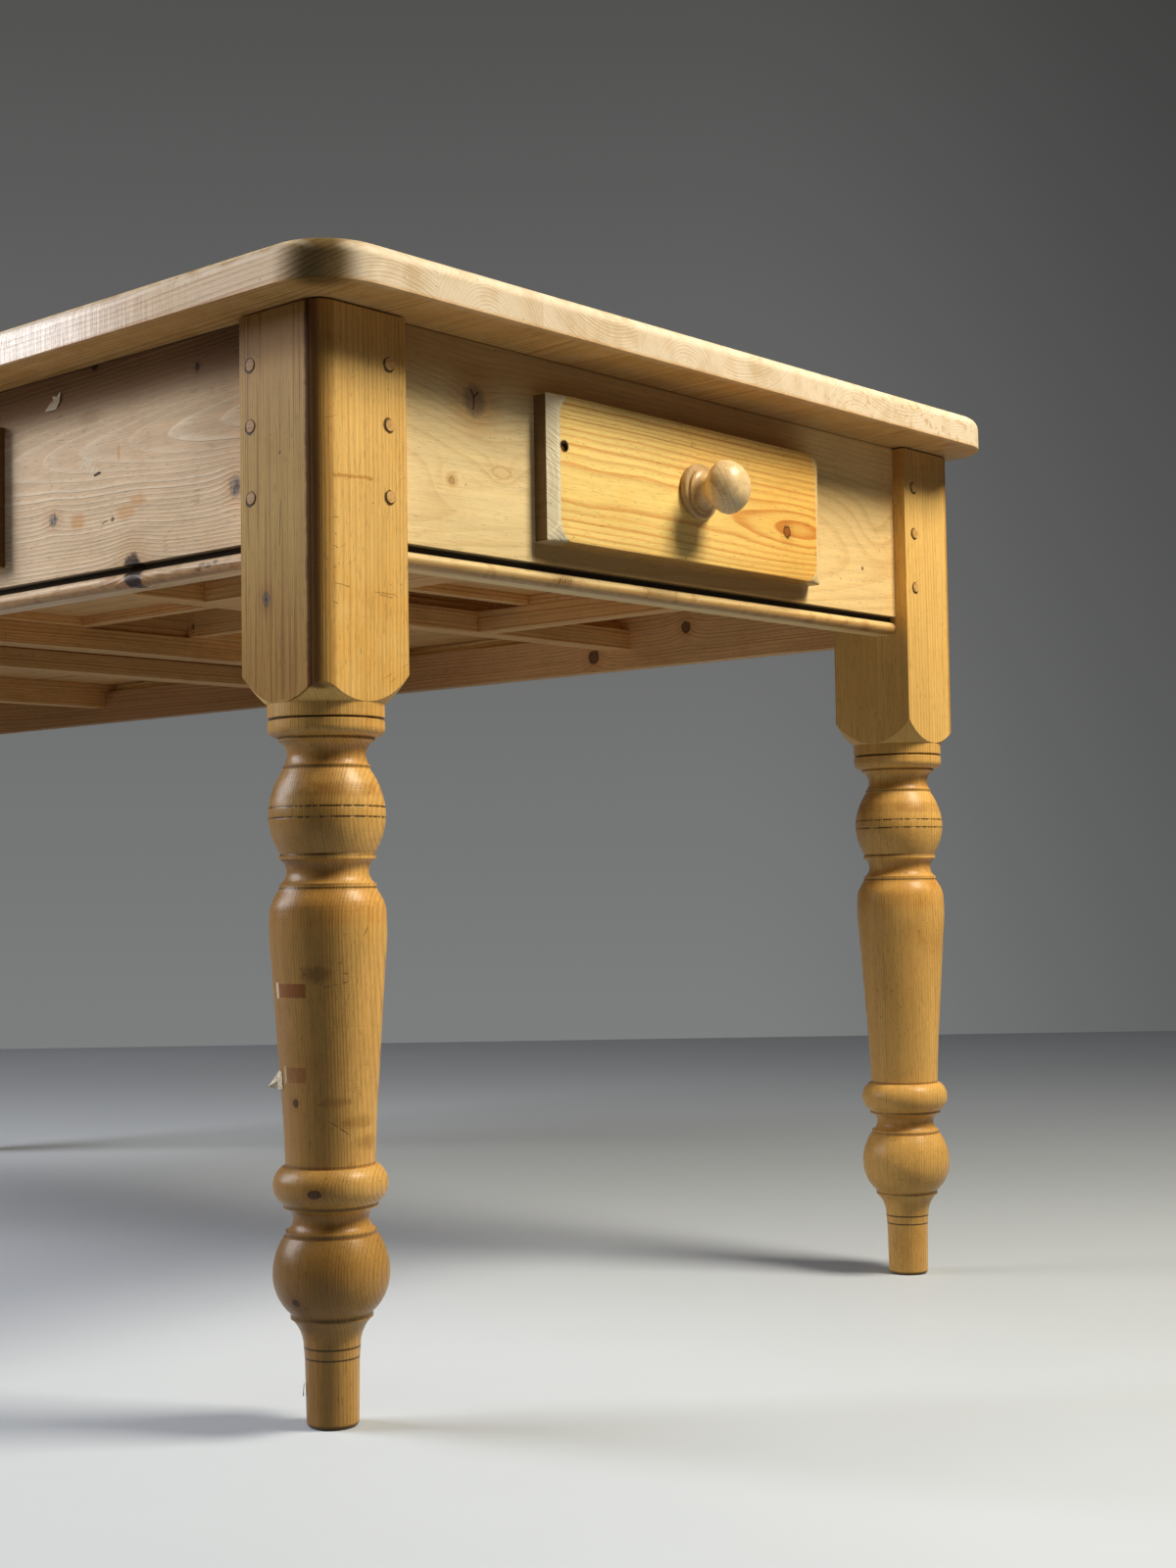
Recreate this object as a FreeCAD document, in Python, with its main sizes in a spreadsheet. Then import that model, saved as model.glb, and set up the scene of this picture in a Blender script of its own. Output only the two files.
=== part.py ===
"""Pine farmhouse table: turned legs, pegged aprons, a plank top and five lipped drawers.

Millimetres. X runs along the table, Y across it, Z up; the origin is on the floor,
midway between the four legs.
"""
import FreeCAD
import Part
import Sketcher
import math
import os
from FreeCAD import Placement, Rotation, Vector

DRIVING_SIZES = [
    # alias, millimetres, what it sets
    ("table_height", 760, "floor to the upper face of the top"),
    ("top_length", 1702, "plank top along X"),
    ("top_width", 808, "plank top along Y"),
    ("top_thick", 28, "thickness of the planks"),
    ("top_corner_radius", 48, "plan radius of the top's four corners"),
    ("top_edge_round", 11, "rounding worn and planed on the upper edge"),
    ("end_overhang", 44.5, "top past the legs at both ends"),
    ("near_overhang", 35.5, "top past the legs on the near long side"),
    ("far_overhang", 9.5, "top past the legs on the far long side"),
    ("leg_block", 78, "square section of a leg"),
    ("leg_outer_round", 14, "rounding of a leg's outer corner"),
    ("leg_top_gap", 1.5, "shadow gap between a leg and the top"),
    ("block_drop", 94, "square block below the apron, down to the turning"),
    ("apron_height", 166, "apron boards with their bead"),
    ("apron_thick", 22, "apron boards"),
    ("apron_setback", 12, "apron face behind the leg's face"),
    ("bead_height", 11, "half-round bead along the apron's lower edge"),
    ("quirk_height", 4.5, "groove above the bead"),
    ("quirk_depth", 6, "depth of that groove"),
    ("tenon_thick", 10, "apron tenons"),
    ("tenon_length", 40, "apron tenons, into the leg"),
    ("tenon_top_shoulder", 12, "tenon below the apron's upper edge"),
    ("tenon_low_shoulder", 14, "tenon above the apron's lower edge"),
    ("mortise_relief", 1, "mortise deeper than its tenon"),
    ("peg_diameter", 8, "oak pegs through each tenon"),
    ("peg_length", 45, "pegs"),
    ("peg_proud", 0.6, "pegs standing out of the leg"),
    ("peg_clearance", 0.05, "radial gap of a peg in its hole"),
    ("peg_top_inset", 23, "upper peg below the tenon's top"),
    ("peg_low_inset", 28, "lower peg above the tenon's bottom"),
    ("peg_middle_lift", 3.5, "middle peg above the middle of the other two"),
    ("long_peg_inset", 11, "pegs of the long aprons, from the leg's inner edge"),
    ("end_peg_inset", 15, "pegs of the end aprons, from the leg's inner edge"),
    ("rail_height", 20, "cross rails and runners that carry the drawers"),
    ("outer_rail_width", 24, "the two outer cross rails"),
    ("inner_rail_width", 32, "the two cross rails beside the table's middle"),
    ("side_bearing", 5, "width of a rail under a drawer side of the long sides"),
    ("far_runner_width", 20, "runner under the far side of the end drawer"),
    ("near_runner_width", 68, "wide board under the near side of the end drawer"),
    ("rail_housing", 6, "depth of the housings that hold rails and runners"),
    ("guide_height", 8, "guide strips beside the drawers"),
    ("guide_width", 7, "guide strips beside the drawers"),
    ("kicker_width", 20, "strips over the drawer sides that stop them tipping"),
    ("glue_block", 26, "square section of the blocks under the top"),
    ("glue_block_length", 76, "blocks under the top"),
    ("box_height", 90, "drawer boxes"),
    ("box_below_top", 37, "drawer boxes below the plank top"),
    ("side_box_depth", 308, "boxes of the long sides, from the apron's face to the back"),
    ("end_box_depth", 292, "box of the end drawer, from the apron's face to the back"),
    ("end_bay_width", 276, "box of the end drawer"),
    ("end_bay_gap", 53, "back of the end drawer to the nearest cross rail"),
    ("middle_pier", 212, "between the two drawer boxes of a long side"),
    ("end_drawer_shift", 4, "end drawer towards the far side of the frame's middle"),
    ("side_thick", 12, "drawer sides"),
    ("back_thick", 12, "drawer backs"),
    ("tongue_thick", 10, "part of a drawer front that stands inside the box"),
    ("groove_depth", 5, "grooves that hold a drawer bottom"),
    ("groove_rise", 8.5, "grooves above the box's lower edge"),
    ("bottom_thick", 4.8, "drawer bottoms"),
    ("bottom_slack", 0.2, "groove taller than the bottom"),
    ("bottom_end_gap", 0.5, "bottom short of the groove's floor"),
    ("drawer_side_gap", 1, "drawer box to its opening and guides"),
    ("drawer_low_gap", 1, "opening below the rails' upper face"),
    ("drawer_top_gap", 1.5, "drawer box to the opening's top and the kickers"),
    ("lip_thick", 16, "drawer front outside the apron"),
    ("end_lip", 30.5, "end drawer's front past its box at each end"),
    ("side_lip", 6, "fronts of the long sides past their boxes at each end"),
    ("lip_height", 9, "drawer front past its box above and below"),
    ("bevel_width", 10, "worked bevel on the ends of a drawer front"),
    ("bevel_depth", 5, "worked bevel"),
    ("bevel_arris", 1, "easing of a front's upper and lower edges"),
    ("bevel_corner", 13, "rounded corners of a front's raised face"),
    ("front_corner", 2, "rounded corners of a front's outline"),
    ("nail_hole_diameter", 6.5, "old hole in the end drawer's front"),
    ("nail_hole_depth", 9, "old hole"),
    ("nail_hole_inset", 15, "old hole from the front's end"),
    ("nail_hole_rise", 15, "old hole above the middle of the front"),
    ("knob_rise", 2, "knob above the middle of the drawer box"),
    ("knob_flange", 44, "diameter of a knob's foot"),
    ("knob_head", 42, "diameter of a knob's head"),
    ("knob_neck", 23, "diameter of a knob's neck"),
    ("knob_projection", 45, "knob in front of the drawer front"),
    ("spigot_diameter", 12, "knob spigot"),
    ("spigot_clearance", 0.05, "radial gap of a spigot in its bore"),
]

TOP_BOARDS = 8

# The turning, as (height, cut) points, where cut is the depth below the square
# blank's face. A step of two points is a line's end after its start; a step of four
# numbers is a round: the point it passes through, then its end.
# The foot group stands on the floor.
FOOT_START = (0, 24.8)
FOOT_TURNING = [
    (0.9, 22.6, 3, 21.8),           # eased end of the foot
    (43, 21.1),                     # foot
    (51.5, 20.4),
    (62, 18.2, 70, 12.7),           # hollow flare under the ball
    (70, 12),                       # fillet
    (73.5, 12),
    (84, 4, 98.5, 0.6),             # lower ball
    (111, 2.4, 123.5, 8.2),
    (123.5, 9.3),                   # fillet
    (127, 9.3),
    (127, 10.2),
    (134.8, 14.1, 142, 8.6),        # cove
    (142, 7.8),
    (144.5, 7.8),
    (144.5, 7.3),
    (156.8, 1.2, 168.5, 7.3),       # torus
    (168.5, 9.5),
    (171, 9.5),
    (200, 8.3, 228, 6.4),           # waist of the long vase
]
# The head group hangs below the shoulder; its heights are drops from there.
HEAD_TURNING = [
    (172, 1.6),                     # straight swell of the vase
    (147, 0.25, 136, 0.7),
    (130, 2.6, 125, 5.5),
    (122, 7),                       # fillet
    (119, 7),
    (119, 8),
    (112, 11.8, 103, 8),            # cove
    (103, 7.1),
    (100.5, 7.1),
    (99.5, 8),
    (88, 2.6, 72.5, 0.2),           # upper ball
    (58, 3, 44, 10.1),
    (41, 10.1),                     # fillet
    (41, 10.8),
    (34.5, 13.1, 25, 7.8),          # cove
    (25, 7),
    (22.5, 7),
    (20.9, 2, 16, 0.2),             # ovolo
    (12.2, 0.2),
    (11, 1.8),                      # scribed line round the collar
    (9.8, 0.2),
    (1, 0.2),                       # collar
    (-6.8, -7.5, -20, -17),         # hollow shoulder cut across the block's corners
]
TURNING_SWEEP = 30                  # the cutter's reach outside the blank


class Size:
    """A length worked out from the sheet: its value now and its live expression."""

    def __init__(self, text, value):
        self.text = text
        self.value = value

    def _joined(self, sign, other, value):
        return Size(f"({self.text} {sign} {as_size(other).text})", value)

    def __add__(self, other):
        return self._joined("+", other, self.value + as_size(other).value)

    def __sub__(self, other):
        return self._joined("-", other, self.value - as_size(other).value)

    def __mul__(self, other):
        return self._joined("*", other, self.value * as_size(other).value)

    def __truediv__(self, other):
        return self._joined("/", other, self.value / as_size(other).value)

    def __neg__(self):
        return Size(f"(0 - {self.text})", -self.value)


def as_size(number):
    """Wraps a plain number as a Size."""
    if isinstance(number, Size):
        return number
    return Size(f"({number})", float(number))


ZERO = as_size(0)

doc = FreeCAD.newDocument("FarmhouseTable")
sheet = doc.addObject("Spreadsheet::Sheet", "Sizes")


class Sizes:
    """The sheet's cells as attributes."""


size = Sizes()
for row, (alias, number, note) in enumerate(DRIVING_SIZES, start=1):
    sheet.set(f"A{row}", alias)
    sheet.set(f"B{row}", str(number))
    sheet.setAlias(f"B{row}", alias)
    sheet.set(f"C{row}", note)
    setattr(size, alias, Size(f"Sizes.{alias}", float(number)))
doc.recompute()


# ---------------------------------------------------------------- sketches and features

def arc_through(start, middle, end):
    """A sketch arc over three points, and whether it runs from start to end."""
    circle = Part.Circle(start, middle, end)
    centre = circle.Center
    turns = [math.atan2(p.y - centre.y, p.x - centre.x) for p in (start, middle, end)]
    to_middle = (turns[1] - turns[0]) % math.tau
    to_end = (turns[2] - turns[0]) % math.tau
    forward = to_middle < to_end
    first, last = (turns[0], turns[2]) if forward else (turns[2], turns[0])
    flat = Part.Circle(centre, Vector(0, 0, 1), circle.Radius)
    return Part.ArcOfCircle(flat, first, last), forward


def outline(start, steps):
    """A closed outline: a step is an end point, or a point on the way and an end point."""
    def draw(sketch):
        here = start
        ends = []
        for step in steps:
            there = step[-1]
            a = Vector(here[0].value, here[1].value, 0)
            b = Vector(there[0].value, there[1].value, 0)
            if len(step) == 1:
                edge = sketch.addGeometry(Part.LineSegment(a, b), False)
                forward = True
            else:
                middle = Vector(step[0][0].value, step[0][1].value, 0)
                arc, forward = arc_through(a, middle, b)
                edge = sketch.addGeometry(arc, False)
            ends.append((edge, 1, 2, here) if forward else (edge, 2, 1, here))
            here = there
        for index, (edge, first, last, corner) in enumerate(ends):
            following = ends[(index + 1) % len(ends)]
            fix(sketch, "Coincident", edge, last, following[0], following[1])
            pin_down(sketch, edge, first, corner)
    return draw


def fix(sketch, *constraint):
    """Adds one constraint to a sketch."""
    return sketch.addConstraint(Sketcher.Constraint(*constraint))


def pin_down(sketch, edge, end, point):
    """Ties a sketch point to the sheet, measured from the sketch's origin."""
    for kind, axis, along in (("DistanceX", -2, point[0]), ("DistanceY", -1, point[1])):
        if along is ZERO:
            fix(sketch, "PointOnObject", edge, end, axis)
        else:
            index = fix(sketch, kind, -1, 1, edge, end, along.value)
            sketch.setExpression(f"Constraints[{index}]", along.text)


def rectangle(left, right, low, high):
    """A rectangle between four sizes."""
    return outline((left, low), [((right, low),), ((right, high),), ((left, high),), ((left, low),)])


def rounded_rectangle(left, right, low, high, radius):
    """A rectangle whose four corners are rounds."""
    reach = radius * round(1 - math.sqrt(0.5), 6)
    steps = [
        ((right - radius, low),),
        ((right - reach, low + reach), (right, low + radius)),
        ((right, high - radius),),
        ((right - reach, high - reach), (right - radius, high)),
        ((left + radius, high),),
        ((left + reach, high - reach), (left, high - radius)),
        ((left, low + radius),),
        ((left + reach, low + reach), (left + radius, low)),
    ]
    return outline((left + radius, low), steps)


def circle(across, up, diameter):
    """A circle at two sizes."""
    def draw(sketch):
        centre = Vector(across.value, up.value, 0)
        edge = sketch.addGeometry(Part.Circle(centre, Vector(0, 0, 1), diameter.value / 2), False)
        pin_down(sketch, edge, 3, (across, up))
        index = fix(sketch, "Diameter", edge, diameter.value)
        sketch.setExpression(f"Constraints[{index}]", diameter.text)
    return draw


def sketch_on(body, name, role, along, draws):
    """A sketch across one axis of a body, at a size along that axis."""
    plane = next(item for item in body.Origin.OriginFeatures if item.Role == role)
    sketch = body.newObject("Sketcher::SketchObject", name)
    sketch.AttachmentSupport = (plane, [""])
    sketch.MapMode = "FlatFace"
    # The XZ plane faces -Y, so its offset runs backwards.
    offset = -along if role == "XZ_Plane" else along
    sketch.setExpression("AttachmentOffset.Base.z", offset.text)
    for draw in draws:
        draw(sketch)
    return sketch


def prism(body, kind, name, role, low, high, *draws):
    """Pads or pockets outlines across one axis, from low to high along it."""
    sketch = sketch_on(body, name + "_sketch", role, (low + high) / 2, draws)
    feature = body.newObject("PartDesign::" + kind, name)
    feature.Profile = sketch
    feature.SideType = "Symmetric"
    feature.setExpression("Length", (high - low).text)
    body.Tip = feature
    doc.recompute()
    return feature


def turned(body, kind, name, role, along, draw):
    """Revolves an outline right round its sketch's upright axis."""
    sketch = sketch_on(body, name + "_sketch", role, along, [draw])
    feature = body.newObject("PartDesign::" + kind, name)
    feature.Profile = sketch
    feature.ReferenceAxis = (sketch, ["V_Axis"])
    feature.Angle = 360
    body.Tip = feature
    doc.recompute()
    return feature


def volume_cut(body, cut):
    """Runs a cutting step and makes sure that it took something away."""
    before = body.Shape.Volume
    cut()
    if body.Shape.Volume >= before - 1:
        raise RuntimeError(f"{body.Label}: a cut removed nothing")


parts = []


def keep(item, name):
    """Names an object as one piece of the table."""
    item.Label = name
    parts.append(item)
    return item


def new_body(name, x=ZERO, y=ZERO, turn=0):
    """A body whose own frame stands at x, y and is turned about the vertical."""
    body = doc.addObject("PartDesign::Body", name)
    place(body, x, y, ZERO, Rotation(Vector(0, 0, 1), turn))
    return keep(body, name)


def place(item, x, y, z, rotation=Rotation()):
    """Places an object at sizes of the sheet."""
    item.Placement = Placement(Vector(x.value, y.value, z.value), rotation)
    for axis, along in (("x", x), ("y", y), ("z", z)):
        item.setExpression(f"Placement.Base.{axis}", along.text)


def bar(name, xs, ys, zs):
    """A plain squared piece between pairs of sizes."""
    box = doc.addObject("Part::Box", name)
    for side, (low, high) in (("Length", xs), ("Width", ys), ("Height", zs)):
        box.setExpression(side, (high - low).text)
    place(box, xs[0], ys[0], zs[0])
    return box


def group(name, items):
    """Identical pieces kept together as one node of separate solids."""
    compound = doc.addObject("Part::Compound", name)
    compound.Links = items
    return keep(compound, name)


# ---------------------------------------------------------------- lines of the frame

half_block = size.leg_block / 2
underside = size.table_height - size.top_thick
apron_low = underside - size.apron_height
shoulder = apron_low - size.block_drop
leg_top = underside - size.leg_top_gap

leg_x = size.top_length / 2 - size.end_overhang - half_block
leg_y = (size.top_width - size.near_overhang - size.far_overhang) / 2 - half_block
top_near_y = -(leg_y + half_block + size.near_overhang)
top_far_y = top_near_y + size.top_width

face_offset = half_block - size.apron_setback
end_face_x = leg_x + face_offset
long_face_y = leg_y + face_offset
end_inner_x = end_face_x - size.apron_thick
long_inner_y = long_face_y - size.apron_thick
long_shoulder = leg_x - half_block
end_shoulder = leg_y - half_block

tenon_low = apron_low + size.tenon_low_shoulder
tenon_high = underside - size.tenon_top_shoulder
tenon_inset = (size.apron_thick - size.tenon_thick) / 2
low_peg = tenon_low + size.peg_low_inset
high_peg = tenon_high - size.peg_top_inset
peg_heights = [low_peg, (low_peg + high_peg) / 2 + size.peg_middle_lift, high_peg]
peg_hole = size.peg_diameter + size.peg_clearance * 2
peg_inward = size.peg_length - size.peg_proud

box_high = underside - size.box_below_top
box_low = box_high - size.box_height
rail_low = box_low - size.rail_height
kicker_low = box_high + size.drawer_top_gap
end_bay_y = size.end_drawer_shift
end_half = size.end_bay_width / 2
last_rail_x = end_face_x - size.end_box_depth - size.end_bay_gap
bay_outer = last_rail_x - size.outer_rail_width + size.side_bearing
bay_inner = size.middle_pier / 2
bay_x = (bay_outer + bay_inner) / 2
side_half = (bay_outer - bay_inner) / 2


# ---------------------------------------------------------------- the plank top

def make_top():
    """Planks glued side by side: slabs of one blank with rounded corners and edge."""
    blank = doc.addObject("PartDesign::Body", "top_blank")
    half_length = size.top_length / 2
    plan = rounded_rectangle(-half_length, half_length, top_near_y, top_far_y,
                             size.top_corner_radius)
    slab = prism(blank, "Pad", "top_slab", "XY_Plane", underside, size.table_height, plan)
    upper = [
        f"Edge{index}"
        for index, edge in enumerate(slab.Shape.Edges, start=1)
        if min(point.Z for point in edge.Vertexes) > size.table_height.value - 0.01
    ]
    rounding = blank.newObject("PartDesign::Fillet", "top_rounding")
    rounding.Base = (slab, upper)
    rounding.setExpression("Radius", size.top_edge_round.text)
    blank.Tip = rounding
    board = size.top_width / TOP_BOARDS
    for index in range(TOP_BOARDS):
        low = top_near_y + board * index
        strip = bar(f"top_strip_{index + 1}", (-half_length, half_length), (low, low + board),
                    (underside, size.table_height))
        plank = doc.addObject("Part::Common", f"top_board_{index + 1}")
        plank.Base = blank
        plank.Tool = strip
        keep(plank, f"top_board_{index + 1}")


# ---------------------------------------------------------------- the legs

def turning_outline():
    """The waste that the lathe takes off the square blank, out to past its corners."""
    reach = half_block + TURNING_SWEEP

    def foot_point(height, cut):
        return half_block - cut, as_size(height) if height else ZERO

    def head_point(drop, cut):
        return half_block - cut, shoulder - drop

    start = foot_point(*FOOT_START)
    steps = []
    for group_steps, point in ((FOOT_TURNING, foot_point), (HEAD_TURNING, head_point)):
        for step in group_steps:
            steps.append([point(*step[i:i + 2]) for i in range(0, len(step), 2)])
    top = steps[-1][-1][1]
    steps += [[(reach, top)], [(reach, ZERO)], [start]]
    return outline(start, steps)


def make_legs():
    """One leg for the near right corner; the other three are its mirrors."""
    leg = new_body("leg_near_right", leg_x, -leg_y)
    left = -half_block
    corner = size.leg_outer_round
    reach = corner * round(1 - math.sqrt(0.5), 6)
    section = outline((left, left), [
        ((half_block - corner, left),),
        ((half_block - reach, left + reach), (half_block, left + corner)),
        ((half_block, half_block),),
        ((left, half_block),),
        ((left, left),),
    ])
    prism(leg, "Pad", "leg_blank", "XY_Plane", ZERO, leg_top, section)
    volume_cut(leg, lambda: turned(leg, "Groove", "leg_turning", "XZ_Plane", ZERO, turning_outline()))

    # Two mortises, each set back from its own outer face.
    mortise_depth = size.tenon_length + size.mortise_relief
    cheek = face_offset - tenon_inset
    behind = cheek - size.tenon_thick
    volume_cut(leg, lambda: prism(
        leg, "Pocket", "long_mortise", "XZ_Plane", -cheek, -behind,
        rectangle(left, left + mortise_depth, tenon_low, tenon_high)))
    volume_cut(leg, lambda: prism(
        leg, "Pocket", "end_mortise", "YZ_Plane", behind, cheek,
        rectangle(half_block - mortise_depth, half_block, tenon_low, tenon_high)))

    # Peg holes from each outer face through its mortise.
    long_x = left + size.long_peg_inset
    end_y = half_block - size.end_peg_inset
    volume_cut(leg, lambda: prism(
        leg, "Pocket", "long_peg_holes", "XZ_Plane", left, left + peg_inward,
        *[circle(long_x, height, peg_hole) for height in peg_heights]))
    volume_cut(leg, lambda: prism(
        leg, "Pocket", "end_peg_holes", "YZ_Plane", half_block - peg_inward, half_block,
        *[circle(end_y, height, peg_hole) for height in peg_heights]))

    near_left = mirror("leg_near_left", leg, Vector(1, 0, 0))
    mirror("leg_far_right", leg, Vector(0, 1, 0))
    mirror("leg_far_left", near_left, Vector(0, 1, 0))


def mirror(name, source, normal):
    """A piece's other hand across the middle of the frame."""
    twin = doc.addObject("Part::Mirroring", name)
    twin.Source = source
    twin.Normal = normal
    return keep(twin, name)


# ---------------------------------------------------------------- the aprons
# An apron's own frame has its outer face at y = 0 with the table behind it.

def apron_section():
    """Face, quirk and half-round bead at the lower edge."""
    bead_top = apron_low + size.bead_height
    quirk_top = bead_top + size.quirk_height
    bead_radius = size.bead_height / 2
    return outline((size.apron_thick, underside), [
        ((ZERO, underside),),
        ((ZERO, quirk_top),),
        ((size.quirk_depth, quirk_top),),
        ((size.quirk_depth, bead_top),),
        ((bead_radius, bead_top),),
        ((ZERO, apron_low + bead_radius), (bead_radius, apron_low)),
        ((size.apron_thick, apron_low),),
        ((size.apron_thick, underside),),
    ])


def make_apron(name, x, y, turn, half, peg_inset, bays, carried):
    """One board: beaded, tenoned, pegged, pierced for its drawers, housed for its rails."""
    board = new_body(name, x, y, turn)
    prism(board, "Pad", name + "_board", "YZ_Plane", -half, half, apron_section())
    reach = half + size.tenon_length
    prism(board, "Pad", name + "_tenons", "YZ_Plane", -reach, reach,
          rectangle(tenon_inset, tenon_inset + size.tenon_thick, tenon_low, tenon_high))
    pegs = [
        circle(side * (half + peg_inset), height, peg_hole)
        for side in (as_size(-1), as_size(1))
        for height in peg_heights
    ]
    volume_cut(board, lambda: prism(
        board, "Pocket", name + "_peg_holes", "XZ_Plane", ZERO, size.apron_thick, *pegs))
    if bays:
        holes = [
            rectangle(middle - width - size.drawer_side_gap, middle + width + size.drawer_side_gap,
                      box_low - size.drawer_low_gap, box_high + size.drawer_top_gap)
            for middle, width in bays
        ]
        volume_cut(board, lambda: prism(
            board, "Pocket", name + "_openings", "XZ_Plane", ZERO, size.apron_thick, *holes))
    if carried:
        housings = [rectangle(low, high, rail_low, box_low) for low, high in carried]
        volume_cut(board, lambda: prism(
            board, "Pocket", name + "_housings", "XZ_Plane",
            size.apron_thick - size.rail_housing, size.apron_thick, *housings))
    return board


# ---------------------------------------------------------------- rails, guides, kickers

def rail_spans():
    """Where the four cross rails lie along X: under the edges of the drawer boxes."""
    outer = bay_outer - size.side_bearing
    inner = bay_inner + size.side_bearing
    right = [(inner - size.inner_rail_width, inner), (outer, outer + size.outer_rail_width)]
    left = [(-high, -low) for low, high in reversed(right)]
    return left + right


def runner_spans():
    """Where the end drawer's two runners lie along Y: out from the sides' inner faces."""
    low = end_bay_y - end_half + size.side_thick
    high = end_bay_y + end_half - size.side_thick
    return [(low - size.near_runner_width, low), (high, high + size.far_runner_width)]


def both_sides(bay, inset, width):
    """Two strips as wide as each other, from inset off a bay's middle outwards."""
    return [(bay - inset - width, bay - inset), (bay + inset, bay + inset + width)]


def guide_spans(bay, half):
    """The guide strips beside a drawer box and its gaps."""
    return both_sides(bay, half + size.drawer_side_gap, size.guide_width)


def kicker_spans(bay, half):
    """The kickers over a drawer's two sides, from the sides' inner faces outwards."""
    return both_sides(bay, half - size.side_thick, size.kicker_width)


def make_carcass():
    """Cross rails, runners, guide strips, kickers and glue blocks."""
    housed = long_inner_y + size.rail_housing
    across = (-housed, housed)
    inside = (-long_inner_y, long_inner_y)
    rail_z = (rail_low, box_low)
    guide_z = (box_low, box_low + size.guide_height)
    kicker_z = (kicker_low, underside)
    for index, span in enumerate(rail_spans(), start=1):
        name = f"cross_rail_{index}"
        keep(bar(name, span, across, rail_z), name)
    for name, span in zip(("end_runner_near", "end_runner_far"), runner_spans()):
        keep(bar(name, (last_rail_x, end_inner_x + size.rail_housing), span, rail_z), name)

    guides = []
    kickers = []
    for bay in (-bay_x, bay_x):
        for span in guide_spans(bay, side_half):
            guides.append(bar("cross_guide", span, inside, guide_z))
        for span in kicker_spans(bay, side_half):
            kickers.append(bar("cross_kicker", span, inside, kicker_z))
    side_kicker = kicker_spans(bay_x, side_half)[1][1]
    for span in guide_spans(end_bay_y, end_half):
        guides.append(bar("end_guide", (last_rail_x, end_inner_x), span, guide_z))
    for span in kicker_spans(end_bay_y, end_half):
        kickers.append(bar("end_kicker", (side_kicker, end_inner_x), span, kicker_z))
    group("drawer_guides", guides)
    group("drawer_kickers", kickers)
    make_glue_blocks(side_kicker)


def make_glue_blocks(side_kicker):
    """Square blocks rubbed into the corner between the aprons and the top."""
    half = size.glue_block_length / 2
    block_z = (underside - size.glue_block, underside)
    long_y = (long_inner_y - size.glue_block, long_inner_y)
    end_x = (end_inner_x - size.glue_block, end_inner_x)
    # Midway between a leg and the nearest kicker, and one in the middle of each long side.
    beside_leg = (side_kicker + long_shoulder) / 2
    near_kicker, far_kicker = kicker_spans(end_bay_y, end_half)
    end_middles = ((near_kicker[0] - end_shoulder) / 2, (far_kicker[1] + end_shoulder) / 2)
    blocks = []
    for index, middle in enumerate((-beside_leg, ZERO, beside_leg)):
        span = (middle - half, middle + half)
        blocks.append(bar(f"far_block_{index + 1}", span, long_y, block_z))
        blocks.append(bar(f"near_block_{index + 1}", span, (-long_y[1], -long_y[0]), block_z))
    for index, middle in enumerate(end_middles):
        span = (middle - half, middle + half)
        blocks.append(bar(f"right_block_{index + 1}", end_x, span, block_z))
        blocks.append(bar(f"left_block_{index + 1}", (-end_x[1], -end_x[0]), span, block_z))
    group("glue_blocks", blocks)


# ---------------------------------------------------------------- the pegs

def make_pegs():
    """Three pegs through each of the eight tenons, a little proud of the legs."""
    pegs = []

    def peg(x, y, height, axis, turn):
        pin = doc.addObject("Part::Cylinder", "peg")
        pin.setExpression("Radius", (size.peg_diameter / 2).text)
        pin.setExpression("Height", size.peg_length.text)
        place(pin, x, y, height, Rotation(axis, turn))
        pegs.append(pin)

    outward = half_block + size.peg_proud
    for side in (-1, 1):
        long_x = (long_shoulder + size.long_peg_inset) * side
        end_x = (leg_x + outward) * side
        for height in peg_heights:
            peg(long_x, -(leg_y + outward), height, Vector(1, 0, 0), -90)
            peg(long_x, leg_y + outward, height, Vector(1, 0, 0), 90)
            for edge in (-1, 1):
                end_y = (end_shoulder + size.end_peg_inset) * edge
                peg(end_x, end_y, height, Vector(0, 1, 0), -90 * side)
    group("joint_pegs", pegs)


# ---------------------------------------------------------------- the drawers
# A drawer's own frame has the apron's face at y = 0; it slides out along -Y.

def front_outline(inset_x, inset_z, corner, wide_half):
    """A drawer front's outline, drawn in by insets."""
    wide = wide_half - inset_x
    low = box_low - size.lip_height + inset_z
    high = box_high + size.lip_height - inset_z
    return rounded_rectangle(-wide, wide, low, high, corner)


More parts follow.
